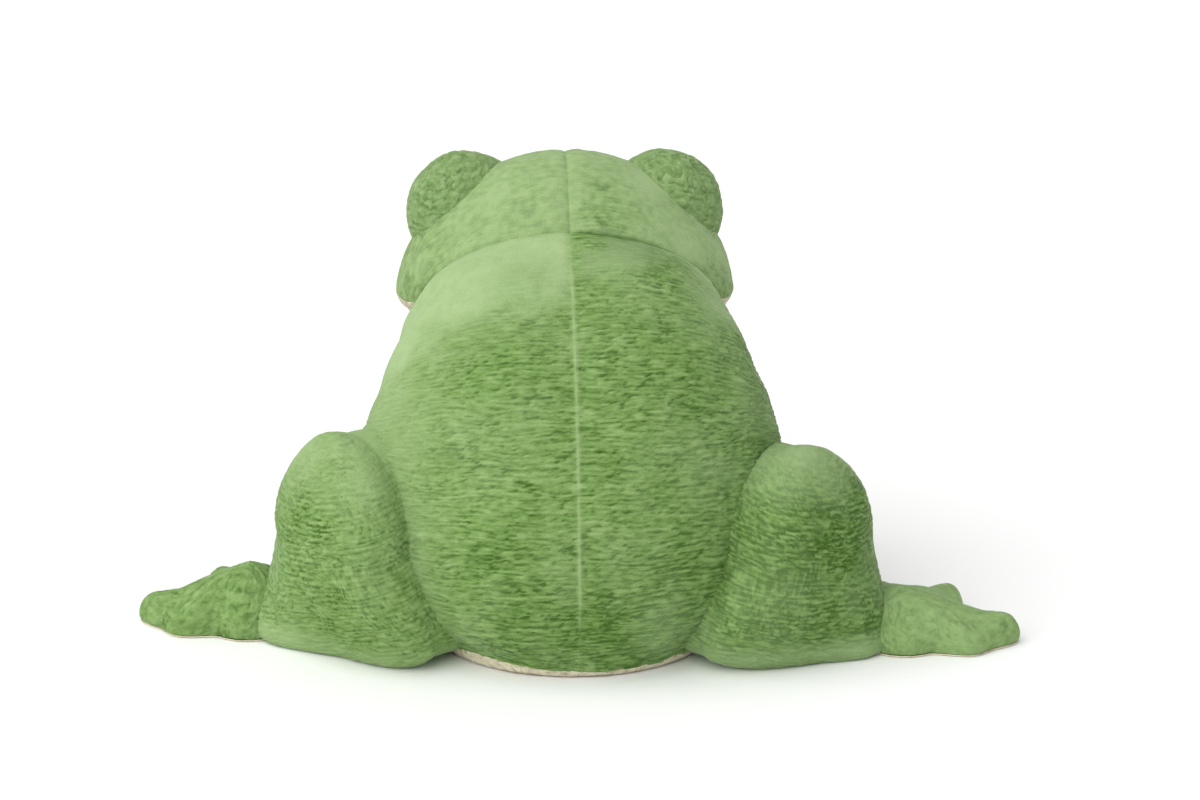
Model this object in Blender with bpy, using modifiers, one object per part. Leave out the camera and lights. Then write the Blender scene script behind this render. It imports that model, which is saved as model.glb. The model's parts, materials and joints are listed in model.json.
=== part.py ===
"""A sitting frog hand puppet in short-pile plush, with a hand opening under the rump.

Metres, +Z up. The origin is on the surface it sits on, under the middle of the body. The frog
faces -Y and its left side is +X. Every skin is a thin shell, with its filling as a piece of its own.
"""

import math

import bpy
import numpy as np
from mathutils import Vector

MM = 0.001

# Fabric and gaps
SKIN = 2.2 * MM  # plush with its backing
LINING = 0.8 * MM
BOARD = 1.5 * MM
PALATE = 1.0 * MM
SEAM_GAP = 1.4 * MM
FILL_GAP = 1.9 * MM  # between a filling and the skin round it
LINING_GAP = 0.9 * MM  # between a filling and a lining

# Torso: rear point (y, z), front point (y, z), half width and rear fullness of each section, hem first
TORSO_KEYS = np.array([
    (84, 3.5, -22, 3.5, 61, 1.9),
    (93, 24, -34, 18, 79, 1.8),
    (96, 48, -41, 33, 88, 1.75),
    (91, 75, -46, 47, 91, 1.8),
    (79, 103, -48, 60, 90, 1.9),
    (60, 130, -48, 72, 84, 2.0),
    (36, 152, -47, 83, 76, 2.0),
    (10, 168, -45, 93, 70, 2.0),
])
TORSO_ROWS = 11
SIDE_SEAM = math.radians(-22)  # angle of the side seams, below the +X and -X directions

# Hand sleeve: centre (y, z) as a share of the way from front to rear, half width, half depth
SLEEVE_KEYS = np.array([
    (0.50, 51, 40),
    (0.50, 49, 35),
    (0.50, 47, 31),
    (0.50, 46, 29),
    (0.50, 46, 27),
    (0.51, 46, 26),
    (0.52, 46, 25),
    (0.53, 46, 24),
])

# Head: height of the mouth line, then y, z of the top, y of the lip and half width of each section
MOUTH_Z = 134 * MM
ARCH_POWER = 1.8
LIP_ANGLE = 0.03  # leaves the slit of the closed mouth between the head and jaw skins
ARCH_START = 9 * MM  # a filling's arches start this far from the mouth line, clear of the boards
HEAD_KEYS = np.array([
    (0, 178, -24, 70),
    (-16, 192, -36, 74),
    (-37, 199, -50, 75),
    (-60, 196, -66, 74),
    (-82, 184, -83, 69),
    (-101, 167, -99, 57),
    (-114, 151, -112, 38),
    (-119, 143, -118, 16),
    (-120.5, 139.5, -119.5, 9),
])
# Jaw: y, z of the chin line, y of the lip, half width
JAW_KEYS = np.array([
    (-48, 122, -42, 70),
    (-57, 112, -52, 76),
    (-70, 107, -66, 76),
    (-86, 107, -83, 70),
    (-101, 112, -99, 57),
    (-112, 119, -112, 38),
    (-117, 126, -118, 16),
    (-118.5, 129.5, -119.5, 9),
])

# Pockets: y of the open end, y of the tip, height, half width, half height
FINGER_POCKET = (-26 * MM, -98 * MM, MOUTH_Z + 15.5 * MM, 44 * MM, 12 * MM)
THUMB_POCKET = (-58 * MM, -97 * MM, MOUTH_Z - 11 * MM, 23 * MM, 7 * MM)
TUNNEL_RUN_OUT = 50 * MM  # the cutters for the pockets run this far out behind

# Mouth boards: y of the hinge line, half width and depth
MOUTH_REAR = -43 * MM
MOUTH_SIZE = (66 * MM, 68 * MM)

ORIGIN_SHIFT = Vector((0.6, 12.3, 0)) * MM  # brings the middle of the whole puppet over the origin
NECK_PIVOT = Vector((0, -16, 138)) * MM
JAW_PIVOT = Vector((0, -38, 134)) * MM

# Eyes
MOUND_CENTRE = Vector((44, -54, 171)) * MM
MOUND_LOWEST = -0.35  # where the dome stops, as a share of its height below its middle
MOUND_AIM = Vector((0.42, -0.12, 0.9)).normalized()
MOUND_RADII = Vector((28, 27, 28)) * MM
EYE_AIM = Vector((0.55, -0.80, 0.25)).normalized()
EYE_STAND_OFF = 29 * MM

# Haunches: middle of the sewn face, turn of its outward normal from the side towards the rear
THIGH_PLACE = {1: (92.5, 37, 47.5, math.radians(36)), -1: (-88.5, 45.8, 47.5, math.radians(42))}
# Ovals outwards from the flank: distance, half length, half height
THIGH_KEYS = np.array([
    (1, 38, 45.5),
    (8, 41, 47.5),
    (15, 40, 47.5),
    (22, 36, 43.5),
    (28, 28, 34.5),
    (31.5, 18, 22),
    (33, 8, 9),
])
THIGH_FLOOR = 0.3 * MM
THIGH_LEAN = 15 * MM  # how far the rear of its underside is drawn in
THIGH_HEIGHT = 95 * MM
THIGH_SPREAD = (5 * MM, 0.12)  # a haunch spreads on the floor: outwards, and as a share of its length

# Feet: middle of the heel (x, y), turn of the first toe from straight out to the side, towards the rear
FOOT_PLACE = {1: (140, 16, math.radians(-13)), -1: (-140, 49, math.radians(2))}
HEEL_RADIUS = 14 * MM
WEB_RADIUS = 37 * MM  # reach of the webs between the toes
FAN = (math.radians(35), math.radians(-120))  # where the heel's round gives way to the toes, rear and front
TOES = ((0.0, 50 * MM), (math.radians(-56), 52 * MM), (math.radians(-96), 47 * MM))
TOE_SPREAD = 0.21
FOOT_COLUMNS = 48
FOOT_HEIGHT = (20 * MM, 12 * MM)  # at the heel and at the toe tips
SOLE = 2.2 * MM
ANKLE_HEIGHT = 10

# Front legs: middle (x, y, z), half width across, half depth
ARM_KEYS = np.array([
    (73.2, -26.3, 72, 8.5, 12),
    (79.5, -33, 70.5, 9.5, 12.5),
    (85.5, -40.5, 62, 10, 13),
    (88.5, -49, 48, 10.5, 12.5),
    (89, -62, 30, 11, 11),
    (87, -76, 15.5, 12.5, 9),
    (85.5, -90, 8.5, 17, 7),
    (85, -99, 7, 17.5, 6),
    (85, -105, 6, 12, 5),
])
ARM_ROWS = 13

SIDES = (1, -1)  # left, which is +X, and right

COLOURS = {
    "plush_green": ((0.30, 0.45, 0.19), 0.95),
    "plush_back": ((0.27, 0.42, 0.17), 0.95),
    "plush_cream": ((0.62, 0.58, 0.42), 0.95),
    "lining": ((0.55, 0.56, 0.45), 0.9),
    "filling": ((0.80, 0.80, 0.78), 1.0),
    "mouth_fabric": ((0.45, 0.12, 0.10), 0.9),
    "board": ((0.45, 0.33, 0.20), 0.85),
    "eye_plastic": ((0.55, 0.30, 0.04), 0.08),
}

for old in list(bpy.data.objects):
    bpy.data.objects.remove(old)

puppet = bpy.data.collections.new("frog_hand_puppet")
cutters = bpy.data.collections.new("cutters")
for group in (puppet, cutters):
    bpy.context.scene.collection.children.link(group)


def material(slot):
    found = bpy.data.materials.get(slot)
    if found:
        return found
    colour, roughness = COLOURS[slot]
    made = bpy.data.materials.new(slot)
    made.use_nodes = True
    shader = made.node_tree.nodes["Principled BSDF"]
    shader.inputs["Base Color"].default_value = (*colour, 1)
    shader.inputs["Roughness"].default_value = roughness
    shader.inputs["Metallic"].default_value = 0
    return made


def new_object(name, points, faces, slot, group=puppet):
    mesh = bpy.data.meshes.new(name)
    mesh.from_pydata([tuple(map(float, p)) for p in points], [], faces)
    mesh.update()
    mesh.shade_smooth()
    mesh.set_sharp_from_angle(angle=math.radians(50))
    mesh.materials.append(material(slot))
    made = bpy.data.objects.new(name, mesh)
    group.objects.link(made)
    return made


def smooth_rows(keys, count):
    """Rows on a smooth curve through the key rows (Catmull-Rom), count of them from first to last."""
    keys = np.asarray(keys, float)
    padded = np.vstack([2 * keys[0] - keys[1], keys, 2 * keys[-1] - keys[-2]])
    rows = []
    for place in np.linspace(0, len(keys) - 1, count):
        i = min(int(place), len(keys) - 2)
        t = place - i
        a, b, c, d = padded[i : i + 4]
        rows.append(0.5 * (2 * b + (c - a) * t + (2 * a - 5 * b + 4 * c - d) * t**2
                           + (3 * b - a - 3 * c + d) * t**3))
    return np.array(rows)


def super_ring(angles, power):
    """Unit superellipse: x, then y, at each angle."""
    cosine = np.cos(angles)
    sine = np.sin(angles)
    return (np.sign(cosine) * abs(cosine) ** (2 / power), np.sign(sine) * abs(sine) ** (2 / power))


def quads(rows, columns, closed=False):
    faces = []
    for i in range(rows - 1):
        for j in range(columns if closed else columns - 1):
            k = (j + 1) % columns
            faces.append((i * columns + j, i * columns + k, (i + 1) * columns + k, (i + 1) * columns + j))
    return faces


def inside(grid, depth, closed=False):
    """The grid moved in along its own normals."""
    if closed:
        along = np.roll(grid, -1, axis=1) - np.roll(grid, 1, axis=1)
    else:
        along = np.gradient(grid, axis=1)
    normal = np.cross(along, np.gradient(grid, axis=0))
    return grid - depth * normal / np.linalg.norm(normal, axis=2, keepdims=True)


def shell(name, grid, slot, thickness=SKIN, closed=False, extra_faces=()):
    """An open sheet of fabric, thickened inwards. The grid's rows run so that its faces point out."""
    rows, columns = grid.shape[:2]
    made = new_object(name, grid.reshape(-1, 3), quads(rows, columns, closed) + list(extra_faces), slot)
    solidify = made.modifiers.new("Thickness", "SOLIDIFY")
    solidify.thickness = thickness
    solidify.offset = -1
    solidify.use_even_offset = True
    return made


def capped_loft(name, grid, slot, group=puppet):
    """A closed solid through the rings of the grid, with a flat cap on each end."""
    rows, columns = grid.shape[:2]
    faces = quads(rows, columns, closed=True)
    faces.append(tuple(reversed(range(columns))))
    faces.append(tuple(range((rows - 1) * columns, rows * columns)))
    return new_object(name, grid.reshape(-1, 3), faces, slot, group)


def wall_between(name, outer, inner, slot):
    """A closed tube wall between two stacks of rings, open along its middle."""
    rows, columns = outer.shape[:2]
    stack = np.concatenate([outer, inner[::-1], outer[:1]])
    faces = quads(2 * rows + 1, columns, closed=True)
    last = 2 * rows * columns
    joined = [tuple(v - last if v >= last else v for v in face) for face in faces]
    return new_object(name, stack[:-1].reshape(-1, 3), joined, slot)


# ---- Torso -------------------------------------------------------------------------------------

def torso_ring(row, angles, inset=0.0):
    """One torso section. Angle 0 is +X, a quarter turn is the rear, and inset shrinks it in metres."""
    rear = Vector((0, row[0], row[1])) * MM
    front = Vector((0, row[2], row[3])) * MM
    middle = (rear + front) / 2
    depth = (rear - front) / 2
    half_width = row[4] * MM - inset
    half_depth = depth.length - inset
    direction = depth.normalized()
    fullness = np.where(np.sin(angles) > 0, row[5], 2.1)
    across, along = super_ring(angles, fullness)
    points = np.zeros((len(angles), 3))
    points[:, 0] = half_width * across
    points[:, 1] = middle.y + half_depth * along * direction.y
    points[:, 2] = middle.z + half_depth * along * direction.z
    return points


def torso_grid(angles, rows=TORSO_ROWS):
    return np.array([torso_ring(row, angles) for row in smooth_rows(TORSO_KEYS, rows)])


def sleeve_grid(angles, outset=0.0, rows=TORSO_ROWS):
    """The hand sleeve's rings, on the same planes as the torso's sections."""
    rings = []
    for body, sleeve in zip(smooth_rows(TORSO_KEYS, rows), smooth_rows(SLEEVE_KEYS, rows)):
        rear = Vector((0, body[0], body[1])) * MM
        front = Vector((0, body[2], body[3])) * MM
        middle = front.lerp(rear, sleeve[0])
        direction = (rear - front).normalized()
        across, along = super_ring(angles, 2.3)
        half_depth = sleeve[2] * MM + outset
        points = np.zeros((len(angles), 3))
        points[:, 0] = (sleeve[1] * MM + outset) * across
        points[:, 1] = middle.y + half_depth * along * direction.y
        points[:, 2] = middle.z + half_depth * along * direction.z
        rings.append(points)
    return np.array(rings)


def make_torso():
    half_gap = SEAM_GAP / 2 / (80 * MM)
    seam_left = SIDE_SEAM + half_gap
    seam_right = math.pi - SIDE_SEAM - half_gap
    middle = math.pi / 2
    shell("back_panel_left", torso_grid(np.linspace(seam_left, middle - half_gap, 10)), "plush_back")
    shell("back_panel_right", torso_grid(np.linspace(middle + half_gap, seam_right, 10)), "plush_back")
    front = np.linspace(math.pi - SIDE_SEAM + half_gap, 2 * math.pi + SIDE_SEAM - half_gap, 12)
    shell("belly_panel", torso_grid(front), "plush_cream")
    around = np.linspace(0, 2 * math.pi, 26, endpoint=False)
    wall_between(
        "torso_stuffing",
        inside(torso_grid(around), SKIN + FILL_GAP, closed=True),
        sleeve_grid(around, LINING_GAP),
        "filling",
    )
    shell("hand_sleeve", sleeve_grid(around), "lining", LINING, closed=True)


def make_hem():
    """A rolled band of pale fabric round the opening, under the edge of the skin."""
    around = np.linspace(0, 2 * math.pi, 36, endpoint=False)
    first = TORSO_KEYS[0]
    band = []
    for inset, z in ((0.0, 0.0), (0.0, 2.9), (5.0, 2.9), (5.0, 0.0)):
        row = first.copy()
        row[1] = row[3] = z
        row[5] = 1.95
        band.append(torso_ring(row, around, inset * MM))
    outer = np.array([band[0], band[1]])
    inner = np.array([band[3], band[2]])
    wall_between("opening_hem", outer, inner, "plush_cream")


# ---- Head and jaw ------------------------------------------------------------------------------

def arch(row, angles):
    """One section of the head or jaw, from the +X lip at angle 0 over the top or chin to the other."""
    across, along = super_ring(angles, ARCH_POWER)
    summit = Vector((0, row[0], row[1])) * MM
    lip = Vector((0, row[2] * MM, MOUTH_Z + math.copysign(SEAM_GAP / 2, summit.z - MOUTH_Z)))
    rise = summit - lip
    points = np.zeros((len(angles), 3))
    points[:, 0] = row[3] * MM * across
    points[:, 1] = lip.y + rise.y * along
    points[:, 2] = lip.z + rise.z * along
    return points


def arch_grid(keys, angles, rows):
    return np.array([arch(row, angles) for row in smooth_rows(keys, rows)])


def filling_grid(keys, columns, rows, under=False):
    """Arches for a filling, each one starting as far from the mouth line as the boards need."""
    rings = []
    for row in smooth_rows(keys, rows):
        rise = abs(row[1] * MM - MOUTH_Z)
        start = math.asin((ARCH_START / rise) ** (ARCH_POWER / 2))
        angles = np.linspace(start, math.pi - start, columns)
        rings.append(arch(row, angles[::-1] if under else angles))
    return inside(np.array(rings), SKIN + FILL_GAP)


def mouth_outline(scale, count=28):
    """Half-moon outline of the mouth boards in plan, from the hinge line round the lips."""
    across, along = super_ring(np.linspace(0, -math.pi, count), 2.2)
    return np.column_stack([MOUTH_SIZE[0] * scale * across, MOUTH_REAR + MOUTH_SIZE[1] * scale * along])


def plate(name, outline, low, high, slot):
    """A flat plate from an outline in plan, with a little rounding on its rim."""
    curve = bpy.data.curves.new(name, "CURVE")
    curve.dimensions = "2D"
    curve.fill_mode = "BOTH"
    curve.extrude = (high - low) / 2
    spline = curve.splines.new("POLY")
    spline.points.add(len(outline) - 1)
    for point, (x, y) in zip(spline.points, outline):
        point.co = (x, y, 0, 1)
    spline.use_cyclic_u = True
    curve.materials.append(material(slot))
    made = bpy.data.objects.new(name, curve)
    made.location.z = (low + high) / 2
    puppet.objects.link(made)
    return made


def pocket_grid(rear_y, front_y, z, half_width, half_height, outset=0.0, columns=18):
    """Rings of a flat pocket along Y, closing to a rounded front end. An outset one also runs out behind."""
    around = np.linspace(0, 2 * math.pi, columns, endpoint=False)
    across, along = super_ring(around, 2.6)
    rings = []
    for share, width, height in ((0, 1.0, 1.0), (0.3, 1.0, 0.98), (0.6, 0.94, 0.92), (0.8, 0.82, 0.8),
                                 (0.92, 0.6, 0.6), (1.0, 0.25, 0.25)):
        y = rear_y + (front_y - outset - rear_y) * share
        x = (half_width + outset) * width * across
        rings.append(np.column_stack([x, np.full(columns, y), z + (half_height + outset) * height * along]))
    if outset:
        rings.insert(0, rings[0] + np.array([0, TUNNEL_RUN_OUT, 0]))
    return np.array(rings)


def pocket(name, grid, slot):
    rows, columns = grid.shape[:2]
    end = tuple(range((rows - 1) * columns, rows * columns))
    return shell(name, grid, slot, LINING, closed=True, extra_faces=[end])


def cut(target, tool):
    tool.hide_render = True
    tool.display_type = "WIRE"
    boolean = target.modifiers.new("Cut " + tool.name, "BOOLEAN")
    boolean.operation = "DIFFERENCE"
    boolean.object = tool


def make_head():
    half_gap = SEAM_GAP / 2 / (70 * MM)
    left = arch_grid(HEAD_KEYS, np.linspace(LIP_ANGLE, math.pi / 2 - half_gap, 9), 11)
    right = arch_grid(HEAD_KEYS, np.linspace(math.pi / 2 + half_gap, math.pi - LIP_ANGLE, 9), 11)
    left[:, :, 0] = np.maximum(left[:, :, 0], SEAM_GAP / 2)
    right[:, :, 0] = np.minimum(right[:, :, 0], -SEAM_GAP / 2)
    shell("head_panel_left", left, "plush_green")
    shell("head_panel_right", right, "plush_green")
    stuffing = capped_loft("head_stuffing", filling_grid(HEAD_KEYS[:-2], 15, 8), "filling")
    tunnel = capped_loft("finger_tunnel", pocket_grid(*FINGER_POCKET, outset=LINING_GAP),
                         "filling", cutters)
    cut(stuffing, tunnel)
    pocket("finger_pocket", pocket_grid(*FINGER_POCKET), "lining")
    plate("mouth_roof", mouth_outline(0.98), MOUTH_Z + 0.3 * MM, MOUTH_Z + 0.3 * MM + PALATE, "mouth_fabric")
    plate("upper_mouth_board", mouth_outline(0.92), MOUTH_Z + 1.6 * MM, MOUTH_Z + 1.6 * MM + BOARD, "board")


def make_head_form():
    """A cutter a little larger than the head, which shapes the foot of each eye mound."""
    grown = inside(arch_grid(HEAD_KEYS, np.linspace(0, math.pi, 25), 15), -SEAM_GAP / 2)
    return capped_loft("head_form", grown, "plush_green", cutters)


def make_jaw():
    bowl = arch_grid(JAW_KEYS, np.linspace(math.pi - LIP_ANGLE, LIP_ANGLE, 17), 9)
    shell("jaw_panel", bowl, "plush_cream")
    stuffing = capped_loft("jaw_stuffing", filling_grid(JAW_KEYS[1:-3], 15, 6, under=True), "filling")
    tunnel = capped_loft("thumb_tunnel", pocket_grid(*THUMB_POCKET, outset=LINING_GAP),
                         "filling", cutters)
    cut(stuffing, tunnel)
    pocket("thumb_pocket", pocket_grid(*THUMB_POCKET), "lining")
    plate("mouth_floor", mouth_outline(0.98), MOUTH_Z - 0.3 * MM - PALATE, MOUTH_Z - 0.3 * MM, "mouth_fabric")
    plate("lower_mouth_board", mouth_outline(0.92), MOUTH_Z - 1.6 * MM - BOARD, MOUTH_Z - 1.6 * MM, "board")


# ---- Eyes --------------------------------------------------------------------------------------

def side_name(name, side):
    return name + ("_left" if side > 0 else "_right")


def aimed(made, aim, place):
    """Turns an object's +Z to the aim and puts its origin at the place."""
    made.rotation_euler = aim.to_track_quat("Z", "Y").to_euler()
    made.location = place


def turned(name, profile, slot, steps=20):
    """A turned piece: (radius, height) pairs in mm, from the top at the axis down the outer side."""
    points = [(radius * MM, 0, height * MM) for radius, height in profile]
    mesh = bpy.data.meshes.new(name)
    mesh.from_pydata(points, [(i, i + 1) for i in range(len(points) - 1)], [])
    mesh.materials.append(material(slot))
    made = bpy.data.objects.new(name, mesh)
    puppet.objects.link(made)
    screw = made.modifiers.new("Turn", "SCREW")
    screw.steps = screw.render_steps = steps
    screw.use_merge_vertices = True
    screw.merge_threshold = 0.00005
    screw.use_smooth_shade = True
    return made


def dome_points(radii, lowest, rings, columns):
    """Rings of an ellipsoid, from the height share lowest up to a small ring near its top."""
    start = math.asin(lowest)
    grid = []
    for angle in np.linspace(start, math.radians(78), rings):
        around = np.linspace(0, 2 * math.pi, columns, endpoint=False)
        grid.append(np.column_stack([
            radii[0] * math.cos(angle) * np.cos(around),
            radii[1] * math.cos(angle) * np.sin(around),
            np.full(columns, radii[2] * math.sin(angle)),
        ]))
    return np.array(grid)


def dome_cap(grid):
    rows, columns = grid.shape[:2]
    return tuple(range((rows - 1) * columns, rows * columns))


def make_eye(side, head_form):
    centre = Vector((side * MOUND_CENTRE.x, MOUND_CENTRE.y, MOUND_CENTRE.z))
    outward = Vector((side * MOUND_AIM.x, MOUND_AIM.y, MOUND_AIM.z))
    grid = dome_points(MOUND_RADII, MOUND_LOWEST, 7, 18)
    mound = shell(side_name("eye_mound", side), grid, "plush_green", closed=True,
                  extra_faces=[dome_cap(grid)])
    aimed(mound, outward, centre)
    cut(mound, head_form)
    inner = dome_points(MOUND_RADII - Vector((1, 1, 1)) * (SKIN + FILL_GAP), MOUND_LOWEST, 6, 16)
    filling = capped_loft(side_name("eye_mound_stuffing", side), inner, "filling")
    aimed(filling, outward, centre)
    cut(filling, head_form)
    aim = Vector((side * EYE_AIM.x, EYE_AIM.y, EYE_AIM.z))
    eye_place = centre + aim * EYE_STAND_OFF
    profile = [(0, 5.2), (3.2, 4.9), (6.2, 3.8), (8.4, 2.0), (9.3, 0.4), (9.0, -0.6), (0, -0.6)]
    aimed(turned(side_name("eye", side), profile, "eye_plastic"), aim, eye_place)


# ---- Limbs -------------------------------------------------------------------------------------

def thigh_rings(side, inset=0.0):
    """Ovals of a haunch, stacked outwards from the flat face that is sewn to the flank."""
    x, y, z, turn = THIGH_PLACE[side]
    outward = Vector((side * math.cos(turn), math.sin(turn), 0))
    along = Vector((side * math.sin(turn), -math.cos(turn), 0))
    centre = Vector((x, y, z)) * MM
    around = np.linspace(0, 2 * math.pi, 22, endpoint=False)
    across, rise = super_ring(around, 2.15)
    rings = []
    for row in smooth_rows(THIGH_KEYS, 8):
        half_length = row[1] * MM - inset
        half_height = row[2] * MM - inset
        middle = centre + outward * (row[0] * MM - inset * row[0] / THIGH_KEYS[-1][0])
        low = np.clip(-rise, 0, 1)
        spread = THIGH_SPREAD[0] * low * row[0] / THIGH_KEYS[-1][0]
        ring = (np.array(middle) + np.outer(-half_length * across * side * (1 + THIGH_SPREAD[1] * low), along)
                + np.outer(half_height * rise, (0, 0, 1)) + np.outer(spread, outward))
        drawn = THIGH_LEAN * np.clip(1 - ring[:, 2] / THIGH_HEIGHT, 0, 1) ** 2
        ring += np.outer(drawn * np.clip(across * side, 0, 1), along)
        ring[:, 2] = np.maximum(ring[:, 2], THIGH_FLOOR + inset)
        rings.append(ring)
    return np.array(rings)


def make_thigh(side):
    grid = thigh_rings(side)
    shell(side_name("thigh", side), grid, "plush_green", closed=True, extra_faces=[dome_cap(grid)])
    inner = thigh_rings(side, SKIN + FILL_GAP)[:-1]
    capped_loft(side_name("thigh_stuffing", side), inner, "filling")


def foot_reach(angle, inset):
    """Distance from the heel's middle to the foot's edge. An inset also makes the toes narrower."""
    swing = math.remainder(angle, 2 * math.pi)
    enter = 1 / (1 + math.exp((swing - FAN[0]) / 0.09))
    leave = 1 / (1 + math.exp((FAN[1] - swing) / 0.09))
    reach = HEEL_RADIUS + (WEB_RADIUS - HEEL_RADIUS) * enter * leave
    spread = TOE_SPREAD - inset / TOES[0][1]
    for direction, tip in TOES:
        reach += (tip - WEB_RADIUS) * math.exp(-(((swing - direction) / spread) ** 2))
    return reach - 1.3 * inset


def foot_ring(side, pull, share, inset, low):
    """One closed line round the foot, at a share of its height, pulled in from its edge."""
    x, y, turn = FOOT_PLACE[side]
    ring = []
    for angle in np.linspace(-math.pi, math.pi, FOOT_COLUMNS, endpoint=False):
        reach = foot_reach(angle, inset) - pull
        top = FOOT_HEIGHT[0] + (FOOT_HEIGHT[1] - FOOT_HEIGHT[0]) * min(1, reach / TOES[0][1]) - inset
        heading = angle + turn
        ring.append((x * MM + side * reach * math.cos(heading), y * MM + reach * math.sin(heading),
                     low + (top - low) * share))
    return ring if side > 0 else ring[::-1]


def foot_grid(side, inset, low):
    profile = ((0.0, 0.0), (0.6, 0.6), (0.88, 3.0), (1.0, 6.5))
    return np.array([foot_ring(side, pull * MM, share, inset, low) for share, pull in profile])


def make_foot(side):
    grid = foot_grid(side, 0.0, SOLE + 0.4 * MM)
    upper = shell(side_name("foot", side), grid, "plush_green", 1.6 * MM, closed=True,
                  extra_faces=[dome_cap(grid)])
    upper.modifiers["Thickness"].use_even_offset = False
    capped_loft(side_name("foot_stuffing", side), foot_grid(side, 4.4 * MM, SOLE + 0.7 * MM), "filling")
    outline = np.array(foot_ring(side, 0.0, 0.0, 0.0, 0.0))[:, :2]
    plate(side_name("foot_sole", side), outline, 0.0, SOLE, "plush_cream")


def arm_rings(side, inset=0.0):
    """Ovals of a front leg, from the flat shoulder face at the flank out and down to the hand."""
    around = np.linspace(0, 2 * math.pi, 14, endpoint=False)
    across, rise = super_ring(around, 2.1)
    rows = smooth_rows(ARM_KEYS, ARM_ROWS)
    middles = rows[:, :3] * MM
    middles[:, 0] *= side
    ahead = np.gradient(middles, axis=0)
    rings = []
    for row, middle, way in zip(rows, middles, ahead):
        way = Vector(way).normalized()
        level = Vector((side, 0, 0))
        level = (level - way * level.dot(way)).normalized()
        up = way.cross(level) * side
        ring = (np.array(middle) + np.outer((row[3] * MM - inset) * across * side, np.array(level))
                + np.outer((row[4] * MM - inset) * rise, np.array(up)))
        ring[:, 2] = np.maximum(ring[:, 2], THIGH_FLOOR + inset)
        rings.append(ring)
    return np.array(rings)


def make_arm(side):
    grid = arm_rings(side)
    shell(side_name("arm", side), grid, "plush_green", 1.6 * MM, closed=True, extra_faces=[dome_cap(grid)])
    capped_loft(side_name("arm_stuffing", side), arm_rings(side, 2.6 * MM)[:-1], "filling")


make_torso()
make_hem()
make_head()
make_jaw()
head_form = make_head_form()
for each_side in SIDES:
    make_eye(each_side, head_form)
    make_thigh(each_side)
    make_foot(each_side)
    make_arm(each_side)


# ---- Bodies ------------------------------------------------------------------------------------

def pivot(name, place, parent=None):
    """An empty on a joint's axis, which its body's pieces hang on."""
    made = bpy.data.objects.new(name, None)
    made.location = place
    puppet.objects.link(made)
    if parent:
        hang(made, parent)
    return made


def hang(made, parent):
    """Parents an object and leaves it where it is."""
    bpy.context.view_layer.update()
    made.parent = parent
    made.matrix_parent_inverse = parent.matrix_world.inverted()


torso = pivot("torso_root", (0, 0, 0))
head = pivot("neck_pivot", NECK_PIVOT, torso)
jaw = pivot("jaw_pivot", JAW_PIVOT, head)
owners = [("jaw", jaw), ("thumb", jaw), ("lower_mouth", jaw), ("mouth_floor", jaw), ("head", head),
          ("finger", head), ("upper_mouth", head), ("mouth_roof", head), ("eye", head)]
for side in SIDES:
    shoulder = Vector((side * ARM_KEYS[0][0], ARM_KEYS[0][1], ARM_KEYS[0][2])) * MM
    heel = Vector((FOOT_PLACE[side][0], FOOT_PLACE[side][1], ANKLE_HEIGHT)) * MM
    arm = pivot(side_name("shoulder_pivot", side), shoulder, torso)
    thigh = pivot(side_name("hip_pivot", side), Vector(THIGH_PLACE[side][:3]) * MM, torso)
    foot = pivot(side_name("ankle_pivot", side), heel, thigh)
    limb_end = side_name("", side)
    owners += [("arm" + limb_end, arm), ("arm_stuffing" + limb_end, arm), ("thigh" + limb_end, thigh),
               ("thigh_stuffing" + limb_end, thigh), ("foot" + limb_end, foot),
               ("foot_stuffing" + limb_end, foot), ("foot_sole" + limb_end, foot)]
for piece in [found for found in bpy.data.objects if found.type != "EMPTY"]:
    owner = next((body for start, body in owners if piece.name.startswith(start)), torso)
    hang(piece, owner)
torso.location = ORIGIN_SHIFT
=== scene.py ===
"""The looks of a plush frog hand puppet, sitting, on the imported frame.

Metres, +Z up, the frog faces -Y and its left side is +X. Places are measured from the frame's joints.
Every skin is a fine grid of quads: a smooth form, then its seams, then the ripples of its short pile. The
large skins are blown up as cloth before their seams are drawn in.
"""

import json
import math

import bpy
import numpy as np
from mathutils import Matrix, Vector
from mathutils.bvhtree import BVHTree


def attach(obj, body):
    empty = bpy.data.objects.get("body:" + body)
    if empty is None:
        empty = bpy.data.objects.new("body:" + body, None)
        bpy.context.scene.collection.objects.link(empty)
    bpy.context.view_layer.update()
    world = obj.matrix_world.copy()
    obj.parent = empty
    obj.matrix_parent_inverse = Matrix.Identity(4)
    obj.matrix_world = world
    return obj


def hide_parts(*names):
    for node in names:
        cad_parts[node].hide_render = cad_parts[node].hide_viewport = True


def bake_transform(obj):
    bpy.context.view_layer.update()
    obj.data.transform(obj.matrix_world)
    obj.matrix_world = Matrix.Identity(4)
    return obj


MM = 0.001
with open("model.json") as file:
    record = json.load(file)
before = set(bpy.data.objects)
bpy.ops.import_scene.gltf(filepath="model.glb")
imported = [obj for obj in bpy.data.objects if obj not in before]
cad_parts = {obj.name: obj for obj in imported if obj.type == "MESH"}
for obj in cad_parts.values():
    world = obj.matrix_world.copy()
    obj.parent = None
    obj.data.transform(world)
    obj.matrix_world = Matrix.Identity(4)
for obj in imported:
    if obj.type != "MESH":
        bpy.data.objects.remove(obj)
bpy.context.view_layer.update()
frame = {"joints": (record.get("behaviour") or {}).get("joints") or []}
JOINTS = {joint["name"]: joint for joint in frame["joints"]}
SIDES = (1, -1)  # left, which is +X, and right

# The frame's own origin for the measures below, from the neck joint
NECK = Vector(JOINTS["neck_nod"]["pos_m"])
NECK_FROM_ORIGIN = Vector((0, -16, 138)) * MM
ORIGIN = NECK - NECK_FROM_ORIGIN

# ---- Forms ----

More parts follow.
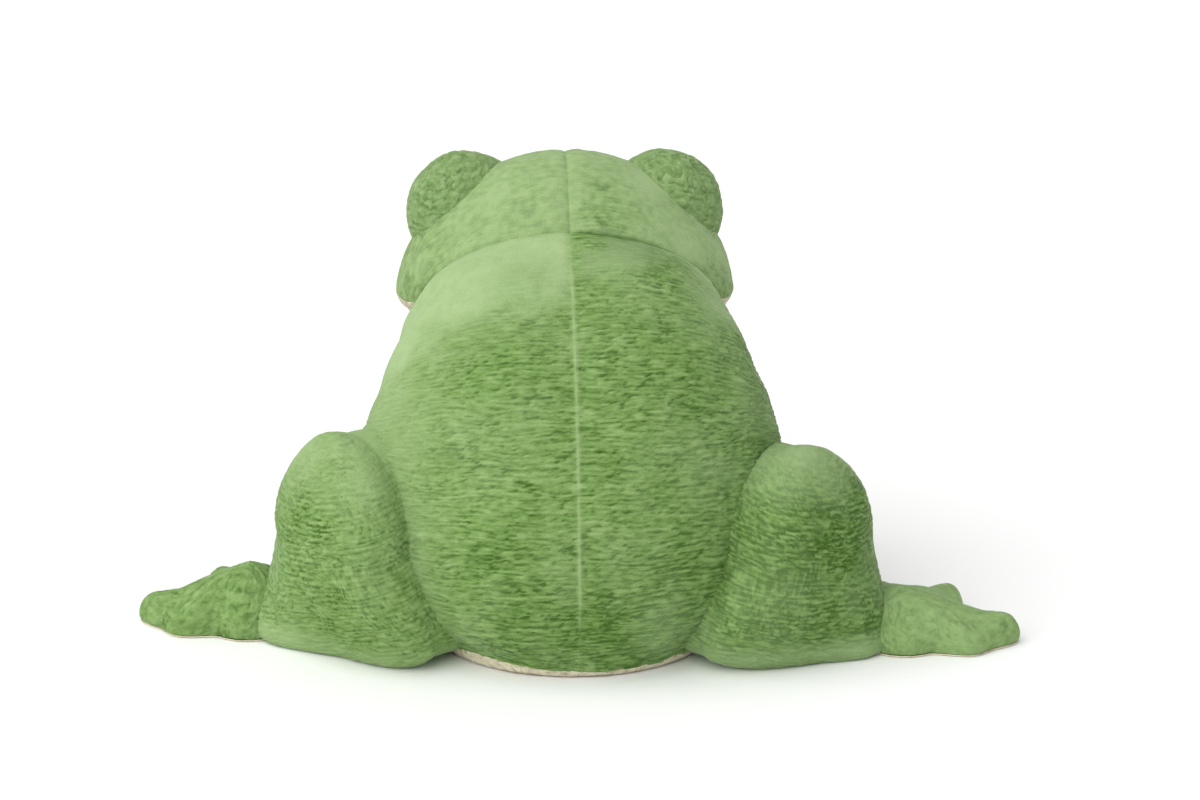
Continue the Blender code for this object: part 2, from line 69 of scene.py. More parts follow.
# Torso: rear point (y, z), front point (y, z), half width and rear fullness of each section, hem first
TORSO = np.array([
    (85, 3.2, -20, 3.2, 60, 1.95),
    (93, 24, -34, 18, 78.5, 1.85),
    (96, 48, -41, 33, 88, 1.8),
    (91, 75, -46, 47, 91, 1.85),
    (79, 103, -48, 60, 90, 1.9),
    (60, 130, -48, 72, 84, 2.0),
    (37, 152, -47, 83, 77, 2.0),
    (14, 167.5, -46, 93, 71, 2.0),
])
# Head, on from the torso: top y, z, lip y, half width; the first row is the neck seam
HEAD = np.array([
    (5.2, 173.2, -22, 70.5),
    (-4, 182.5, -31, 72.5),
    (-17, 192, -41, 75),
    (-38, 199, -53, 76),
    (-60, 196.5, -67, 74),
    (-82, 185, -83, 69),
    (-101, 167, -99, 57),
    (-114, 151, -112, 38),
    (-119, 143, -118, 18),
    (-120.6, 138.5, -120.2, 6),
    (-121.2, 134.15, -121.1, 0.2),
])
# Jaw, on from the belly: y, z of the chin line, y of the lip, half width
JAW = np.array([
    (-48, 102, -26, 71),
    (-53, 107, -38, 74),
    (-62, 107, -52, 76),
    (-74, 106.5, -68, 74),
    (-88, 107.5, -84, 69),
    (-101, 112, -99, 57),
    (-112, 119, -112, 38),
    (-117.6, 125.5, -118, 18),
    (-119.6, 129.5, -120, 6),
    (-121.1, 133.85, -121.1, 0.2),
])
MOUTH_Z = 134 * MM
SIDE_SEAM = math.radians(-22)


SECTION_SAMPLES = 40  # for each key row, when a line through them is measured
RING_SAMPLES = 900
BACK_POWER = 2.0  # how square each cross section is: 2 is an ellipse
FRONT_POWER = 2.1
ARCH_POWER = 1.85
LIP_GAP = 0.5 * MM  # from the middle of the mouth to each lip


def catmull(keys, places):
    """Rows on a smooth curve through the key rows, at the given places along them."""
    keys = np.asarray(keys, float)
    padded = np.concatenate([2 * keys[:1] - keys[1:2], keys, 2 * keys[-1:] - keys[-2:-1]])
    i = np.minimum(places.astype(int), len(keys) - 2)
    t = (places - i).reshape((-1,) + (1,) * (keys.ndim - 1))
    a, b, c, d = (padded[i + k] for k in range(4))
    return 0.5 * (2 * b + (c - a) * t + (2 * a - 5 * b + 4 * c - d) * t**2 + (3 * b - a - 3 * c + d) * t**3)


def even_places(keys, spacing):
    """Places along the key rows that are evenly spaced on the longest line through them."""
    dense = np.linspace(0, len(keys) - 1, SECTION_SAMPLES * len(keys))
    line = catmull(keys, dense)
    steps = np.linalg.norm(np.diff(line, axis=0), axis=-1)
    run = np.concatenate([[0], np.cumsum(steps.max(axis=1) if steps.ndim > 1 else steps)])
    return np.interp(np.linspace(0, run[-1], max(4, round(run[-1] / spacing))), run, dense)


def super_ring(angles, power):
    cosine = np.cos(angles)
    sine = np.sin(angles)
    return np.sign(cosine) * abs(cosine) ** (2 / power), np.sign(sine) * abs(sine) ** (2 / power)


def even_angles(power, count, first, last):
    """Angles that step evenly along a superellipse."""
    dense = np.linspace(first, last, RING_SAMPLES)
    x, y = super_ring(dense, power)
    run = np.concatenate([[0], np.cumsum(np.hypot(np.diff(x), np.diff(y)))])
    return np.interp(np.linspace(0, run[-1], count), run, dense)


def turns(count):
    """Even angles once round."""
    return np.linspace(0, 2 * math.pi, count, endpoint=False)


def torso_line(row, angles):
    rear, front = np.array((0, row[0], row[1])) * MM, np.array((0, row[2], row[3])) * MM
    middle, half = (rear + front) / 2, (rear - front) / 2
    power = np.where(np.sin(angles) > 0, row[5], FRONT_POWER)
    across, along = super_ring(angles, power)
    points = middle + np.outer(along, half)
    points[:, 0] = row[4] * MM * across
    return points


def arch_line(row, angles, lip_z):
    """One section of the head or jaw, over its two lips."""
    across, along = super_ring(angles, ARCH_POWER)
    summit, lip = np.array((0, row[0], row[1])) * MM, np.array((0, row[2] * MM, lip_z))
    points = lip + np.outer(along, summit - lip)
    points[:, 0] = row[3] * MM * across
    return points


# ---- Pile ----

HASH = (73856093, 19349663, 83492791)  # large primes that mix up the cells of the noise
SEED_HASH = 2654435
NOISE_GAIN = 1.7
TROUGH_WIDTH = 0.12
FINER = 1.95  # how much finer the second set of waves is

PATCH_SIZE = 10 * MM  # the places where troughs are deep or shallow

GRADIENTS = np.random.RandomState(11).normal(size=(256, 3))
GRADIENTS /= np.linalg.norm(GRADIENTS, axis=1, keepdims=True)


def noise(points, seed, size=None):
    """Gradient noise at an array of points, about -1 to 1, with lumps of a size in mm, or of one unit."""
    shape = points.shape[:-1]
    p = (points / (size * MM) if size else points).reshape(-1, 3)
    cell = np.floor(p).astype(np.int64)
    part = p - cell
    fade = part**3 * (part * (part * 6 - 15) + 10)
    total = np.zeros(len(p))
    for corner in np.ndindex(2, 2, 2):
        at = cell + corner
        key = (at[:, 0] * HASH[0]) ^ (at[:, 1] * HASH[1]) ^ (at[:, 2] * HASH[2]) ^ (seed * SEED_HASH)
        key = (key ^ (key >> 13)) & 255
        weight = np.prod(np.where(corner, fade, 1 - fade), axis=1)
        total += weight * np.einsum("ij,ij->i", GRADIENTS[key], part - corner)
    return np.clip(total * NOISE_GAIN, -1, 1).reshape(shape)


def flat_noise(u, v, seed):
    return noise(np.stack([u, v, np.full_like(u, 0.37)], axis=-1), seed)


def surface_lengths(grid):
    """Distance run along the columns, and along the rows, to each vertex."""
    along_row = np.linalg.norm(np.diff(grid, axis=1), axis=2)
    along_row = np.concatenate([np.zeros((grid.shape[0], 1)), np.cumsum(along_row, axis=1)], axis=1)
    along_row -= along_row[:, along_row.shape[1] // 2][:, None]
    steps = np.linalg.norm(np.diff(grid, axis=0), axis=2).max(axis=1)
    down = np.concatenate([[0], np.cumsum(steps)])
    return along_row, np.broadcast_to(down[:, None], along_row.shape)


def normals_of(grid, closed=False):
    if closed:
        along = np.roll(grid, -1, axis=1) - np.roll(grid, 1, axis=1)
    else:
        along = np.gradient(grid, axis=1)
    normal = np.cross(along, np.gradient(grid, axis=0))
    return normal / np.maximum(np.linalg.norm(normal, axis=2, keepdims=True), 1e-12)


def waves(grain, patchy, seed):
    """Brushed pile: soft waves with thin troughs, over places that are already scaled to one wave a unit."""
    wave = noise(grain, seed)
    finer = noise(grain * FINER, seed + 1)
    trough = ridge(wave, TROUGH_WIDTH) * (0.6 + 0.55 * noise(patchy, seed + 2))
    return 0.42 * wave + 0.26 * finer - 0.85 * np.clip(trough, 0, 1)


def flat_grain(u, v, seed, long, short):
    """Places on a skin, scaled so that a wave of its pile is one unit long and one unit high."""
    sway = 2.0 * MM * flat_noise(u / (32 * MM), v / (20 * MM), seed)
    return np.stack([u / long, (v + sway) / short, np.full_like(u, 0.37)], axis=-1)


def soft_step(value):
    value = np.clip(value, 0, 1)
    return value * value * (3 - 2 * value)


def ridge(distance, width):
    """One at the middle of a seam, falling away to nothing either side."""
    return np.exp(-((distance / width) ** 2))


# ---- Meshes ----

def mesh_piece(name, grid, material, values=None, closed=False, caps=(False, False), world=True):
    """A mesh from a grid of points, wound so that its rows run round to the left of its columns' way."""
    rows, columns = grid.shape[:2]
    index = np.arange(rows * columns).reshape(rows, columns)
    right = np.roll(index, -1, axis=1) if closed else index[:, 1:]
    left = index if closed else index[:, :-1]
    quads = np.stack([left[:-1], right[:-1], right[1:], left[1:]], axis=-1).reshape(-1, 4)
    points = grid.reshape(-1, 3) + (np.array(ORIGIN) if world else 0)
    faces = [tuple(face) for face in quads.tolist()]
    if caps[0]:
        faces.append(tuple(reversed(index[0].tolist())))
    if caps[1]:
        faces.append(tuple(index[-1].tolist()))
    mesh = bpy.data.meshes.new(name)
    mesh.from_pydata(points, [], faces)
    mesh.shade_smooth()
    if material:
        mesh.materials.append(material)
    for label, value in (values or {}).items():
        kind, field = ("FLOAT_VECTOR", "vector") if label == "grain" else ("FLOAT", "value")
        attribute = mesh.attributes.new(label, kind, "POINT")
        attribute.data.foreach_set(field, value.ravel().astype(np.float32))
    piece = bpy.data.objects.new(name, mesh)
    bpy.context.scene.collection.objects.link(piece)
    return piece


# ---- Filling ----

SWELL_FRAMES = 20
SWELL_PRESSURE = 40.0
SWELL_EASE = 0.042  # how much larger the cloth is cut than the form it starts from


def swollen(coarse, held, closed):
    """Where the points of a coarse grid go when it is blown up as cloth. Its held points stay."""
    piece = mesh_piece("swelling", coarse, None, closed=closed, caps=(closed, closed), world=False)
    sewn = piece.vertex_groups.new(name="sewn")
    for index, weight in enumerate(held.ravel().tolist()):
        if weight > 0:
            sewn.add([index], weight, "REPLACE")
    cloth = piece.modifiers.new("Filling", "CLOTH")
    cloth.settings.vertex_group_mass = "sewn"
    cloth.settings.shrink_min = -SWELL_EASE
    cloth.settings.use_pressure = True
    cloth.settings.uniform_pressure_force = SWELL_PRESSURE
    cloth.settings.effector_weights.gravity = 0
    cloth.collision_settings.use_collision = False
    cloth.point_cache.frame_end = SWELL_FRAMES
    scene = bpy.context.scene
    for frame_number in range(1, SWELL_FRAMES + 1):
        scene.frame_set(frame_number)
    swelled = piece.evaluated_get(bpy.context.evaluated_depsgraph_get()).data
    points = np.empty(3 * len(swelled.vertices))
    swelled.vertices.foreach_get("co", points)
    mesh = piece.data
    bpy.data.objects.remove(piece)
    bpy.data.meshes.remove(mesh)
    scene.frame_set(1)
    return points.reshape(coarse.shape)


def eased(shift, closed):
    """Evens out a coarse grid's shifts, so that no sharp pleat is left between one point and the next."""
    for _ in range(2):
        inner = shift[1:-1] + 0.25 * (shift[2:] + shift[:-2] - 2 * shift[1:-1])
        shift = np.concatenate([shift[:1], inner, shift[-1:]])
        across = np.roll(shift, 1, axis=1) + np.roll(shift, -1, axis=1) - 2 * shift
        if not closed:
            across[:, [0, -1]] = 0
        shift = shift + 0.25 * across
    return shift


def plumped(grid, held, cap, closed=False, step=6):
    """A skin over its filling. It starts a little slack, is blown up as cloth, and its fine rows follow.

    held is 1 where the skin is sewn down or rests on something, and 0 where it is free.
    """
    rows = np.unique(np.append(np.arange(0, grid.shape[0], step), grid.shape[0] - 1))
    ends = [] if closed else [grid.shape[1] - 1]
    columns = np.unique(np.append(np.arange(0, grid.shape[1], step), ends)).astype(int)
    coarse = grid[np.ix_(rows, columns)]
    grip = held[np.ix_(rows, columns)]
    free = (1 - grip)[..., None]
    slack = coarse - 0.5 * cap * free * normals_of(coarse, closed)
    moved = swollen(slack, grip, closed) - slack
    length = np.linalg.norm(moved, axis=2, keepdims=True)
    moved *= np.minimum(1, cap / np.maximum(length, 1e-9)) * free
    shift = eased(slack + moved - coarse, closed)
    row_places = np.interp(np.arange(grid.shape[0]), rows, np.arange(len(rows)))
    shift = catmull(shift, row_places).transpose(1, 0, 2)
    if closed:
        shift = np.concatenate([shift[-2:], shift, shift[:3]])
        columns = np.concatenate([columns[-2:] - grid.shape[1], columns, columns[:3] + grid.shape[1]])
    column_places = np.interp(np.arange(grid.shape[1]), columns, np.arange(len(columns)))
    return grid + catmull(shift, column_places).transpose(1, 0, 2)


# ---- Materials ----

def new_material(name, roughness, **sockets):
    """A material, its shader, and its nodes and links."""
    made = bpy.data.materials.new(name)
    made.use_nodes = True
    shader = made.node_tree.nodes["Principled BSDF"]
    shader.inputs["Roughness"].default_value = roughness
    for socket, value in sockets.items():
        shader.inputs[socket.replace("_", " ")].default_value = value
    return made, shader, made.node_tree.nodes, made.node_tree.links


def ramp(nodes, links, factor, stops):
    """The colour that a factor picks from a line of (place, colour) stops."""
    made = nodes.new("ShaderNodeValToRGB")
    elements = made.color_ramp.elements
    while len(elements) < len(stops):
        elements.new(0.5)
    for element, (place, colour) in zip(elements, stops):
        element.position = place
        element.color = (*colour, 1)
    links.new(factor, made.inputs[0])
    return made.outputs[0]


def mix(nodes, links, factor, a, b, blend="MIX"):
    made = nodes.new("ShaderNodeMix")
    made.data_type = "RGBA"
    made.blend_type = blend
    for socket, value in zip((made.inputs[0], made.inputs[6], made.inputs[7]), (factor, a, b)):
        if isinstance(value, bpy.types.NodeSocket):
            links.new(value, socket)
        else:
            socket.default_value = value if isinstance(value, float) else (*value, 1)
    return made.outputs[2]


def attribute_of(nodes, label, output="Fac"):
    made = nodes.new("ShaderNodeAttribute")
    made.attribute_name = label
    return made.outputs[output]


def texture(nodes, links, kind, places, **inputs):
    """A texture node looked up at some places, with its inputs set."""
    made = nodes.new(f"ShaderNodeTex{kind}")
    for socket, value in inputs.items():
        made.inputs[socket.replace("_", " ")].default_value = value
    links.new(places, made.inputs["Vector"])
    return made


def bumped(nodes, links, height, strength, distance):
    made = nodes.new("ShaderNodeBump")
    made.inputs["Strength"].default_value = strength
    made.inputs["Distance"].default_value = distance
    links.new(height, made.inputs["Height"])
    return made


def maths(nodes, links, operation, *values):
    made = nodes.new("ShaderNodeMath")
    made.operation = operation
    for socket, value in zip(made.inputs, values):
        if isinstance(value, bpy.types.NodeSocket):
            links.new(value, socket)
        else:
            socket.default_value = value
    return made.outputs[0]


def plush(name, trough_shade, body, crest_light, brushed_and_lit_tone, sheen_tint, patch=0.3):
    """Short pile: painted shade between the tufts, painted light on their crests, lightest where it is
    brushed flat or painted lit.
    """
    made, shader, nodes, links = new_material(name, 0.92, Sheen_Weight=0.4, Sheen_Roughness=0.22)
    shader.inputs["Sheen Tint"].default_value = (*sheen_tint, 1)
    shader.inputs["Specular IOR Level"].default_value = 0.12
    places = nodes.new("ShaderNodeTexCoord").outputs["Object"]
    height, nap_and_light = attribute_of(nodes, "pile"), attribute_of(nodes, "nap_and_light")
    grain = attribute_of(nodes, "grain", "Vector")
    tufts = texture(nodes, links, "Noise", grain, Scale=1.15, Detail=3, Roughness=0.6)
    rows = texture(nodes, links, "Wave", grain, Scale=0.2, Distortion=8.0, Detail=2.5, Detail_Scale=1.3)
    rows.bands_direction = "Y"
    row = maths(nodes, links, "MULTIPLY_ADD", rows.outputs["Fac"], 0.15, -0.575)
    tuft = maths(nodes, links, "ADD", tufts.outputs["Fac"], row)
    rough = maths(nodes, links, "MULTIPLY_ADD", nap_and_light, -0.7, 1.0)
    lift = maths(nodes, links, "MULTIPLY", tuft, rough)
    level = maths(nodes, links, "MULTIPLY_ADD", lift, 1.25, height)
    # The pile tone picks painted shade in the troughs and painted light on the crests.
    shaded_by_height = ramp(nodes, links, level, [(0.16, trough_shade), (0.52, body), (0.95, crest_light)])
    patches = texture(nodes, links, "Noise", places, Scale=26, Detail=3)
    patchy = ramp(nodes, links, patches.outputs["Fac"], [(0.42, (0, 0, 0)), (0.7, (patch,) * 3)])
    patched = mix(nodes, links, patchy, shaded_by_height, brushed_and_lit_tone)
    # The nap mixes in the brushed tone, which is partly brushed pile and partly painted light.
    brushed_and_lit = mix(nodes, links, nap_and_light, patched, brushed_and_lit_tone)
    fibres = texture(nodes, links, "Noise", places, Scale=1300, Detail=2)
    fibre_tone = ramp(nodes, links, fibres.outputs["Fac"], [(0.3, (0.93,) * 3), (0.7, (1.05,) * 3)])
    coloured = mix(nodes, links, 1.0, brushed_and_lit, fibre_tone, "MULTIPLY")
    links.new(coloured, shader.inputs["Base Color"])
    tuft_bump = bumped(nodes, links, lift, 0.55, 1.2 * MM)
    fibre_bump = bumped(nodes, links, fibres.outputs["Fac"], 0.3, 0.6 * MM)
    links.new(tuft_bump.outputs["Normal"], fibre_bump.inputs["Normal"])
    links.new(fibre_bump.outputs["Normal"], shader.inputs["Normal"])
    return made


WEAVE_SCALE = 1000 / 7  # gives a thread about every 2 mm


def woven(name, dark, light):
    """Plain woven cloth: two sets of threads, with a little unevenness."""
    made, shader, nodes, links = new_material(name, 0.85, Sheen_Weight=0.2, Sheen_Roughness=0.5)
    shader.inputs["Specular IOR Level"].default_value = 0.2
    places = nodes.new("ShaderNodeTexCoord").outputs["Object"]
    threads = []
    for direction in ("X", "Y"):
        wave = texture(nodes, links, "Wave", places, Scale=WEAVE_SCALE, Distortion=1.2, Detail_Scale=2.0)
        wave.bands_direction = direction
        threads.append(wave.outputs["Fac"])
    both = maths(nodes, links, "MULTIPLY", *threads)
    worn = texture(nodes, links, "Noise", places, Scale=60)
    uneven = maths(nodes, links, "MULTIPLY_ADD", both, 0.5, worn.outputs["Fac"])
    links.new(ramp(nodes, links, uneven, [(0.3, dark), (0.95, light)]), shader.inputs["Base Color"])
    links.new(bumped(nodes, links, both, 0.4, 0.3 * MM).outputs["Normal"], shader.inputs["Normal"])
    return made


def amber_plastic():
    """Glossy eye: dark pupil, amber round it, darker again at its rim."""
    made, shader, nodes, links = new_material("amber_plastic", 0.07, Coat_Weight=0.6, Coat_Roughness=0.03)
    places = nodes.new("ShaderNodeTexCoord").outputs["Object"]
    streaks = texture(nodes, links, "Noise", places, Scale=420)
    ambers = [(0.3, (0.42, 0.16, 0.012)), (0.7, (0.72, 0.36, 0.04))]
    amber = ramp(nodes, links, streaks.outputs["Fac"], ambers)
    at_rim = ramp(nodes, links, attribute_of(nodes, "rim"), [(0.80, (0, 0, 0)), (0.97, (0.9, 0.9, 0.9))])
    rimmed = mix(nodes, links, at_rim, amber, (0.06, 0.02, 0.005))
    in_pupil = ramp(nodes, links, attribute_of(nodes, "pupil"), [(0.94, (1, 1, 1)), (1.0, (0, 0, 0))])
    links.new(mix(nodes, links, in_pupil, rimmed, (0.006, 0.005, 0.005)), shader.inputs["Base Color"])
    return made


# Each: painted shade in the troughs, the pile's own colour, painted light on the crests, the brushed tone
# that also carries painted light, and the sheen's tint.
GREEN = plush("green_pile", (0.06, 0.135, 0.022), (0.162, 0.285, 0.075), (0.27, 0.405, 0.15),
              (0.35, 0.478, 0.23), (0.9, 1.0, 0.8))
MOUND_GREEN = plush("mound_pile", (0.085, 0.165, 0.045), (0.18, 0.295, 0.10), (0.28, 0.40, 0.18),
                    (0.30, 0.40, 0.19), (0.9, 1.0, 0.8), 0.2)
CREAM = plush("cream_pile", (0.38, 0.33, 0.22), (0.66, 0.60, 0.44), (0.78, 0.73, 0.58), (0.74, 0.70, 0.57),
              (1.0, 0.97, 0.88))
LINING = woven("lining_cloth", (0.36, 0.37, 0.27), (0.60, 0.60, 0.48))
MOUTH = woven("mouth_cloth", (0.26, 0.035, 0.03), (0.52, 0.11, 0.09))
AMBER = amber_plastic()


# ---- Torso, head and jaw ----

ROW_STEP = 0.85 * MM
UPPER_COLUMNS = 221  # odd, so that one column runs along the centre seam
LOWER_COLUMNS = 141

# The side seams climb from below the widest line at the hem to the corners of the mouth at the neck
SEAM_ANGLES = np.array([1, 1, 1, 1, 1, 1, 0.55, 0.12]) * SIDE_SEAM


def key_lines(columns, power, first, last, seams, rows, arch, lip_z):
    """The sections of one skin: the torso's between its side seams, then the head's or the jaw's."""
    lines = []
    for row, seam in zip(TORSO, seams):
        lines.append(torso_line(row, even_angles(power, columns, first + seam, last - seam)))
    for row in rows:
        lines.append(arch_line(row, even_angles(ARCH_POWER, columns, *arch), lip_z))
    return np.array(lines)


def fine_rows(lines, low=None):
    """Fine rows through the key lines, one of them exactly on the neck seam, and the places below it."""
    neck = len(TORSO)
    spaced = even_places(lines, ROW_STEP)
    low = spaced[spaced < neck - 0.02] if low is None else low
    high = spaced[spaced > neck + 0.02]
    return catmull(lines, np.concatenate([low, [neck], high])), low


PILE_MIDDLE = 0.6
PILE_SWING = 0.55  # how far the painted light on the crests and the painted shade in the troughs go from the middle


def raised_pile(grid, grain, seed, strength, lumps, nap_and_light, closed, shade=0.0):
    """The grid with its ripples, and for each vertex its pile height from 0 to 1 as painted shade and light,
    less any painted shade, its nap and painted light, and its grain.
    """
    height = waves(grain, grid / PATCH_SIZE, seed + 2)
    moved = grid + normals_of(grid, closed) * (strength * (height + lumps))[..., None]
    pile = np.clip(PILE_MIDDLE - shade + PILE_SWING * height * (1 - 0.6 * nap_and_light), 0, 1)
    return moved, {"pile": pile, "nap_and_light": np.broadcast_to(nap_and_light, pile.shape), "grain": grain}


def dressed(grid, seed, amplitude, nap_and_light, fade, long=5.6, short=1.45):
    """An open skin with its pile raised by an amplitude in mm, less where fade is below 1."""
    grain = flat_grain(*surface_lengths(grid), seed, long * MM, short * MM)
    lumps = 0.5 * noise(grid, seed + 9, 13)
    return raised_pile(grid, grain, seed, amplitude * MM * (1 - 0.82 * nap_and_light) * fade, lumps, nap_and_light, False)


def fade_in(distance, width):
    return np.clip(distance / width, 0, 1)


def upper_nap_and_light(grid, u, w, on_head):
    """How far the pile is brushed flat and light, and where it is laid flat but dark.

    u runs from the spine to the right and w down the back from the neck seam, in mm. The light pile lies
    over the left shoulder and flank and on the tip of the right shoulder, and partly over the whole head.
    Over the left shoulder and flank, which face the lamp, it is partly brushed pile and partly painted
    light, and the head's sides get less of it, as painted shade.
    """
    wander = 12 * noise(grid, 31, 21) + 5 * noise(grid, 32, 8)
    u, w = u / MM + 0.6 * wander * (abs(u) > 8 * MM), w / MM + wander
    # The left shoulder, which faces the lamp, is partly painted light.
    shoulder = soft_step((3 - u) / 7) * soft_step((36 + 0.7 * np.clip(-u - 30, 0, 60) - w) / 54 + 0.5)
    shoulder *= 0.86 + 0.14 * soft_step(noise(grid, 34, 5) + 0.5)
    left_flank = 0.5 * soft_step((-u - 40) / 50)
    right_shoulder = 0.6 * soft_step((u - 40) / 24) * soft_step((66 - w) / 36)
    right_flank = 0.25 * soft_step((u - 62) / 40)
    body = np.maximum.reduce([shoulder, left_flank, right_shoulder, right_flank])
    # The head's sides get less, as painted shade.
    head = 0.56 + 0.42 * soft_step(noise(grid, 33, 24)) - 0.22 * soft_step((abs(u) - 48) / 25)
    head = head - 0.4 * soft_step(1.3 - np.hypot((u - 19) / 17, (w + 15) / 13))
    laid = soft_step((u - 1) / 5) * soft_step((50 - u) / 16) * soft_step((34 - w) / 14) * soft_step(w / 5)
    return np.where(on_head, head, body), np.where(on_head, 0, laid)


SKIN_CAP = 4 * MM  # the most that the cloth of a skin moves
MOUND_CAP = 2 * MM
SEAM_GRIP = 9 * MM  # how far a seam holds the skin beside it
SPINE_GRIP = 26 * MM
NECK_LINE = 1.6 * MM  # half widths of the crease at the neck, and of the dip round it
NECK_DIP = 8 * MM
SIDE_DEPTH = 2.4 * MM
SIDE_WIDTH = 2.2 * MM
SNOUT_FADE = 7 * MM  # the rows close up at the snout, so nothing is pushed out there
LEFT_LIFT = 2.6 * MM  # how far the skin's lower edge rises towards the left


def skin_held(u, v, neck, spine):
    """How firmly a skin is held by its seams: the hem, the neck, both sides, the snout and the spine."""
    seams = [v, abs(v - v[neck]), abs(u - u[:, :1]), abs(u - u[:, -1:]), (v[-1] - v) - 6 * MM]
    held = np.maximum.reduce([1 - soft_step(seam / SEAM_GRIP) for seam in seams])
    if spine:
        held = np.maximum(held, 0.5 - 0.5 * soft_step(abs(u) / SPINE_GRIP))
    return np.maximum(held, 0.65 * soft_step((v - v[neck]) / (20 * MM)))  # the head is packed firmer


def seam_shape(grid, u, v, neck):
    """Distances from the neck seam and the side seams, where the head is, the side seams' depth, and a fade
    to nothing at the snout."""
    to_side = np.minimum(abs(u - u[:, :1]), abs(u - u[:, -1:]))
    on_head = (np.arange(len(grid)) > neck)[:, None]
    side_depth = np.where(on_head, 0, SIDE_DEPTH) * ridge(to_side, SIDE_WIDTH)
    return abs(v - v[neck]), to_side, on_head, side_depth, soft_step((v[-1] - v) / SNOUT_FADE)


def make_upper():
    lines = key_lines(UPPER_COLUMNS, BACK_POWER, 0, math.pi, SEAM_ANGLES, HEAD, (0, math.pi),
                      MOUTH_Z + LIP_GAP)
    grid, low = fine_rows(lines)
    neck = len(low)
    u, v = surface_lengths(grid)
    grid = plumped(grid, skin_held(u, v, neck, spine=True), SKIN_CAP)
    grid[..., 2] += LEFT_LIFT * soft_step((12 * MM - u) / (60 * MM)) * soft_step(1 - v / (16 * MM))
    to_neck, to_side, on_head, side_depth, off_tip = seam_shape(grid, u, v, neck)
    from_spine = np.abs(np.linspace(-1, 1, grid.shape[1]))[None, :]
    overlap = np.clip((from_spine - 0.25) / 0.75, 0, 1) ** 1.7
    wander = 1 + 0.45 * flat_noise(u / (16 * MM), 0 * v, 71)
    depth = MM * ((0.7 * wander + 2.4 * overlap) * ridge(to_neck, NECK_LINE)
                  + (0.5 + 4.0 * overlap) * ridge(to_neck, NECK_DIP))
    seam_down = np.clip((v[neck] - v) / (30 * MM), 0, 1)
    line = ridge(u, 0.8 * MM)
    pucker = 0.5 + 0.5 * flat_noise(0 * u, v / (3.4 * MM), 77)
    depth += np.where(on_head, (0.6 * line + 0.7 * ridge(u, 3.4 * MM)) * (0.6 + 0.8 * pucker) * MM,
                      0.45 * ridge(u, 3.5 * MM) * MM - 0.35 * line * seam_down * MM)
    grid = grid - normals_of(grid) * ((depth + side_depth) * off_tip)[..., None]
    nap_and_light, laid = upper_nap_and_light(grid, u, v[neck] - v, on_head)
    nap_and_light = nap_and_light * (1 - laid) + 0.42 * laid
    fade = fade_in(to_neck, 1.8 * MM) * fade_in(abs(u), 1.2 * MM) * fade_in(to_side, 2 * MM)
    grid, values = dressed(grid, 3, 0.85, np.maximum(nap_and_light, laid), (0.25 + 0.75 * fade) * off_tip)
    z = grid[..., 2] / MM
    # Painted shade: in the neck crease, most just right of the spine; low in the middle between the
    # haunches; and down the right side, most on the right flank.
    right_of_spine = np.clip(u / (4 * MM), 0, 1) * np.clip((48 * MM - u) / (12 * MM), 0, 1)
    crease_shade = ridge(to_neck, 1.2 * MM) * (0.2 + 0.5 * right_of_spine)
    stitched = np.where(on_head, 0, line * seam_down) * (0.4 + 0.6 * pucker)
    stitched *= 0.15 + 0.85 * soft_step((z - 16) / 28)
    right_flank = soft_step((u / MM - 74) / 14) * soft_step((z - 74) / 12)
    low_middle_shade = soft_step((75 - z) / 40) * soft_step((60 - abs(u) / MM) / 30)
    right_side_shade = (0.09 * soft_step((u / MM - 4) / 50) + 0.18 * right_flank) * ~on_head
    pile = values["pile"] + 0.5 * noise(grid, 91, 3.6) * on_head
    pile = pile - 0.24 * laid - 0.13 * low_middle_shade - right_side_shade
    pile = pile * (1 - 0.55 * np.where(on_head, line, 0) * pucker) * (1 - crease_shade)
    values["pile"] = np.clip(pile + 0.2 * stitched, 0, 1)
    values["nap_and_light"] = np.clip(np.maximum(nap_and_light * (1 - crease_shade), 0.8 * stitched), 0, 1)
    return grid, values, neck, low


MOUTH_MIDDLE = np.array((0, -55 * MM, 0))
LIP_ROLL = ((0.7, 0.55), (1.6, 0.85), (3.2, 0.95), (5.5, 1.0))  # inwards and up or down, in mm


def curled(grid, values, inward_z):
    """Adds columns that roll the lips at the grid's two edges into the mouth."""
    edges = []
    for edge in (grid[:, 0], grid[:, -1]):
        inward = MOUTH_MIDDLE - edge
        inward[:, 2] = 0
        inward /= np.maximum(np.linalg.norm(inward, axis=1, keepdims=True), 1e-9)
        reach = np.clip(abs(edge[:, :1]) / (9 * MM), 0.75, 1)
        edges.append([edge + inward * a * MM * reach + np.array((0, 0, inward_z * b * MM))
                      for a, b in LIP_ROLL])
    before, after = np.stack(edges[0][::-1], axis=1), np.stack(edges[1], axis=1)
    grown = np.concatenate([before, grid, after], axis=1)
    added = ((0, 0), (len(LIP_ROLL),) * 2, (0, 0))
    padded = {label: np.pad(value, added[:value.ndim], mode="edge") for label, value in values.items()}
    return grown, padded


def taken(values, rows, columns):
    return {label: value[rows, columns] for label, value in values.items()}


def head_part(piece):
    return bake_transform(piece)


def finish_skin(piece, slot, fill, *nodes):
    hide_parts(*nodes)


def finish_ridden(piece, body, slot, *nodes):
    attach(piece, body)
    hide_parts(*nodes)


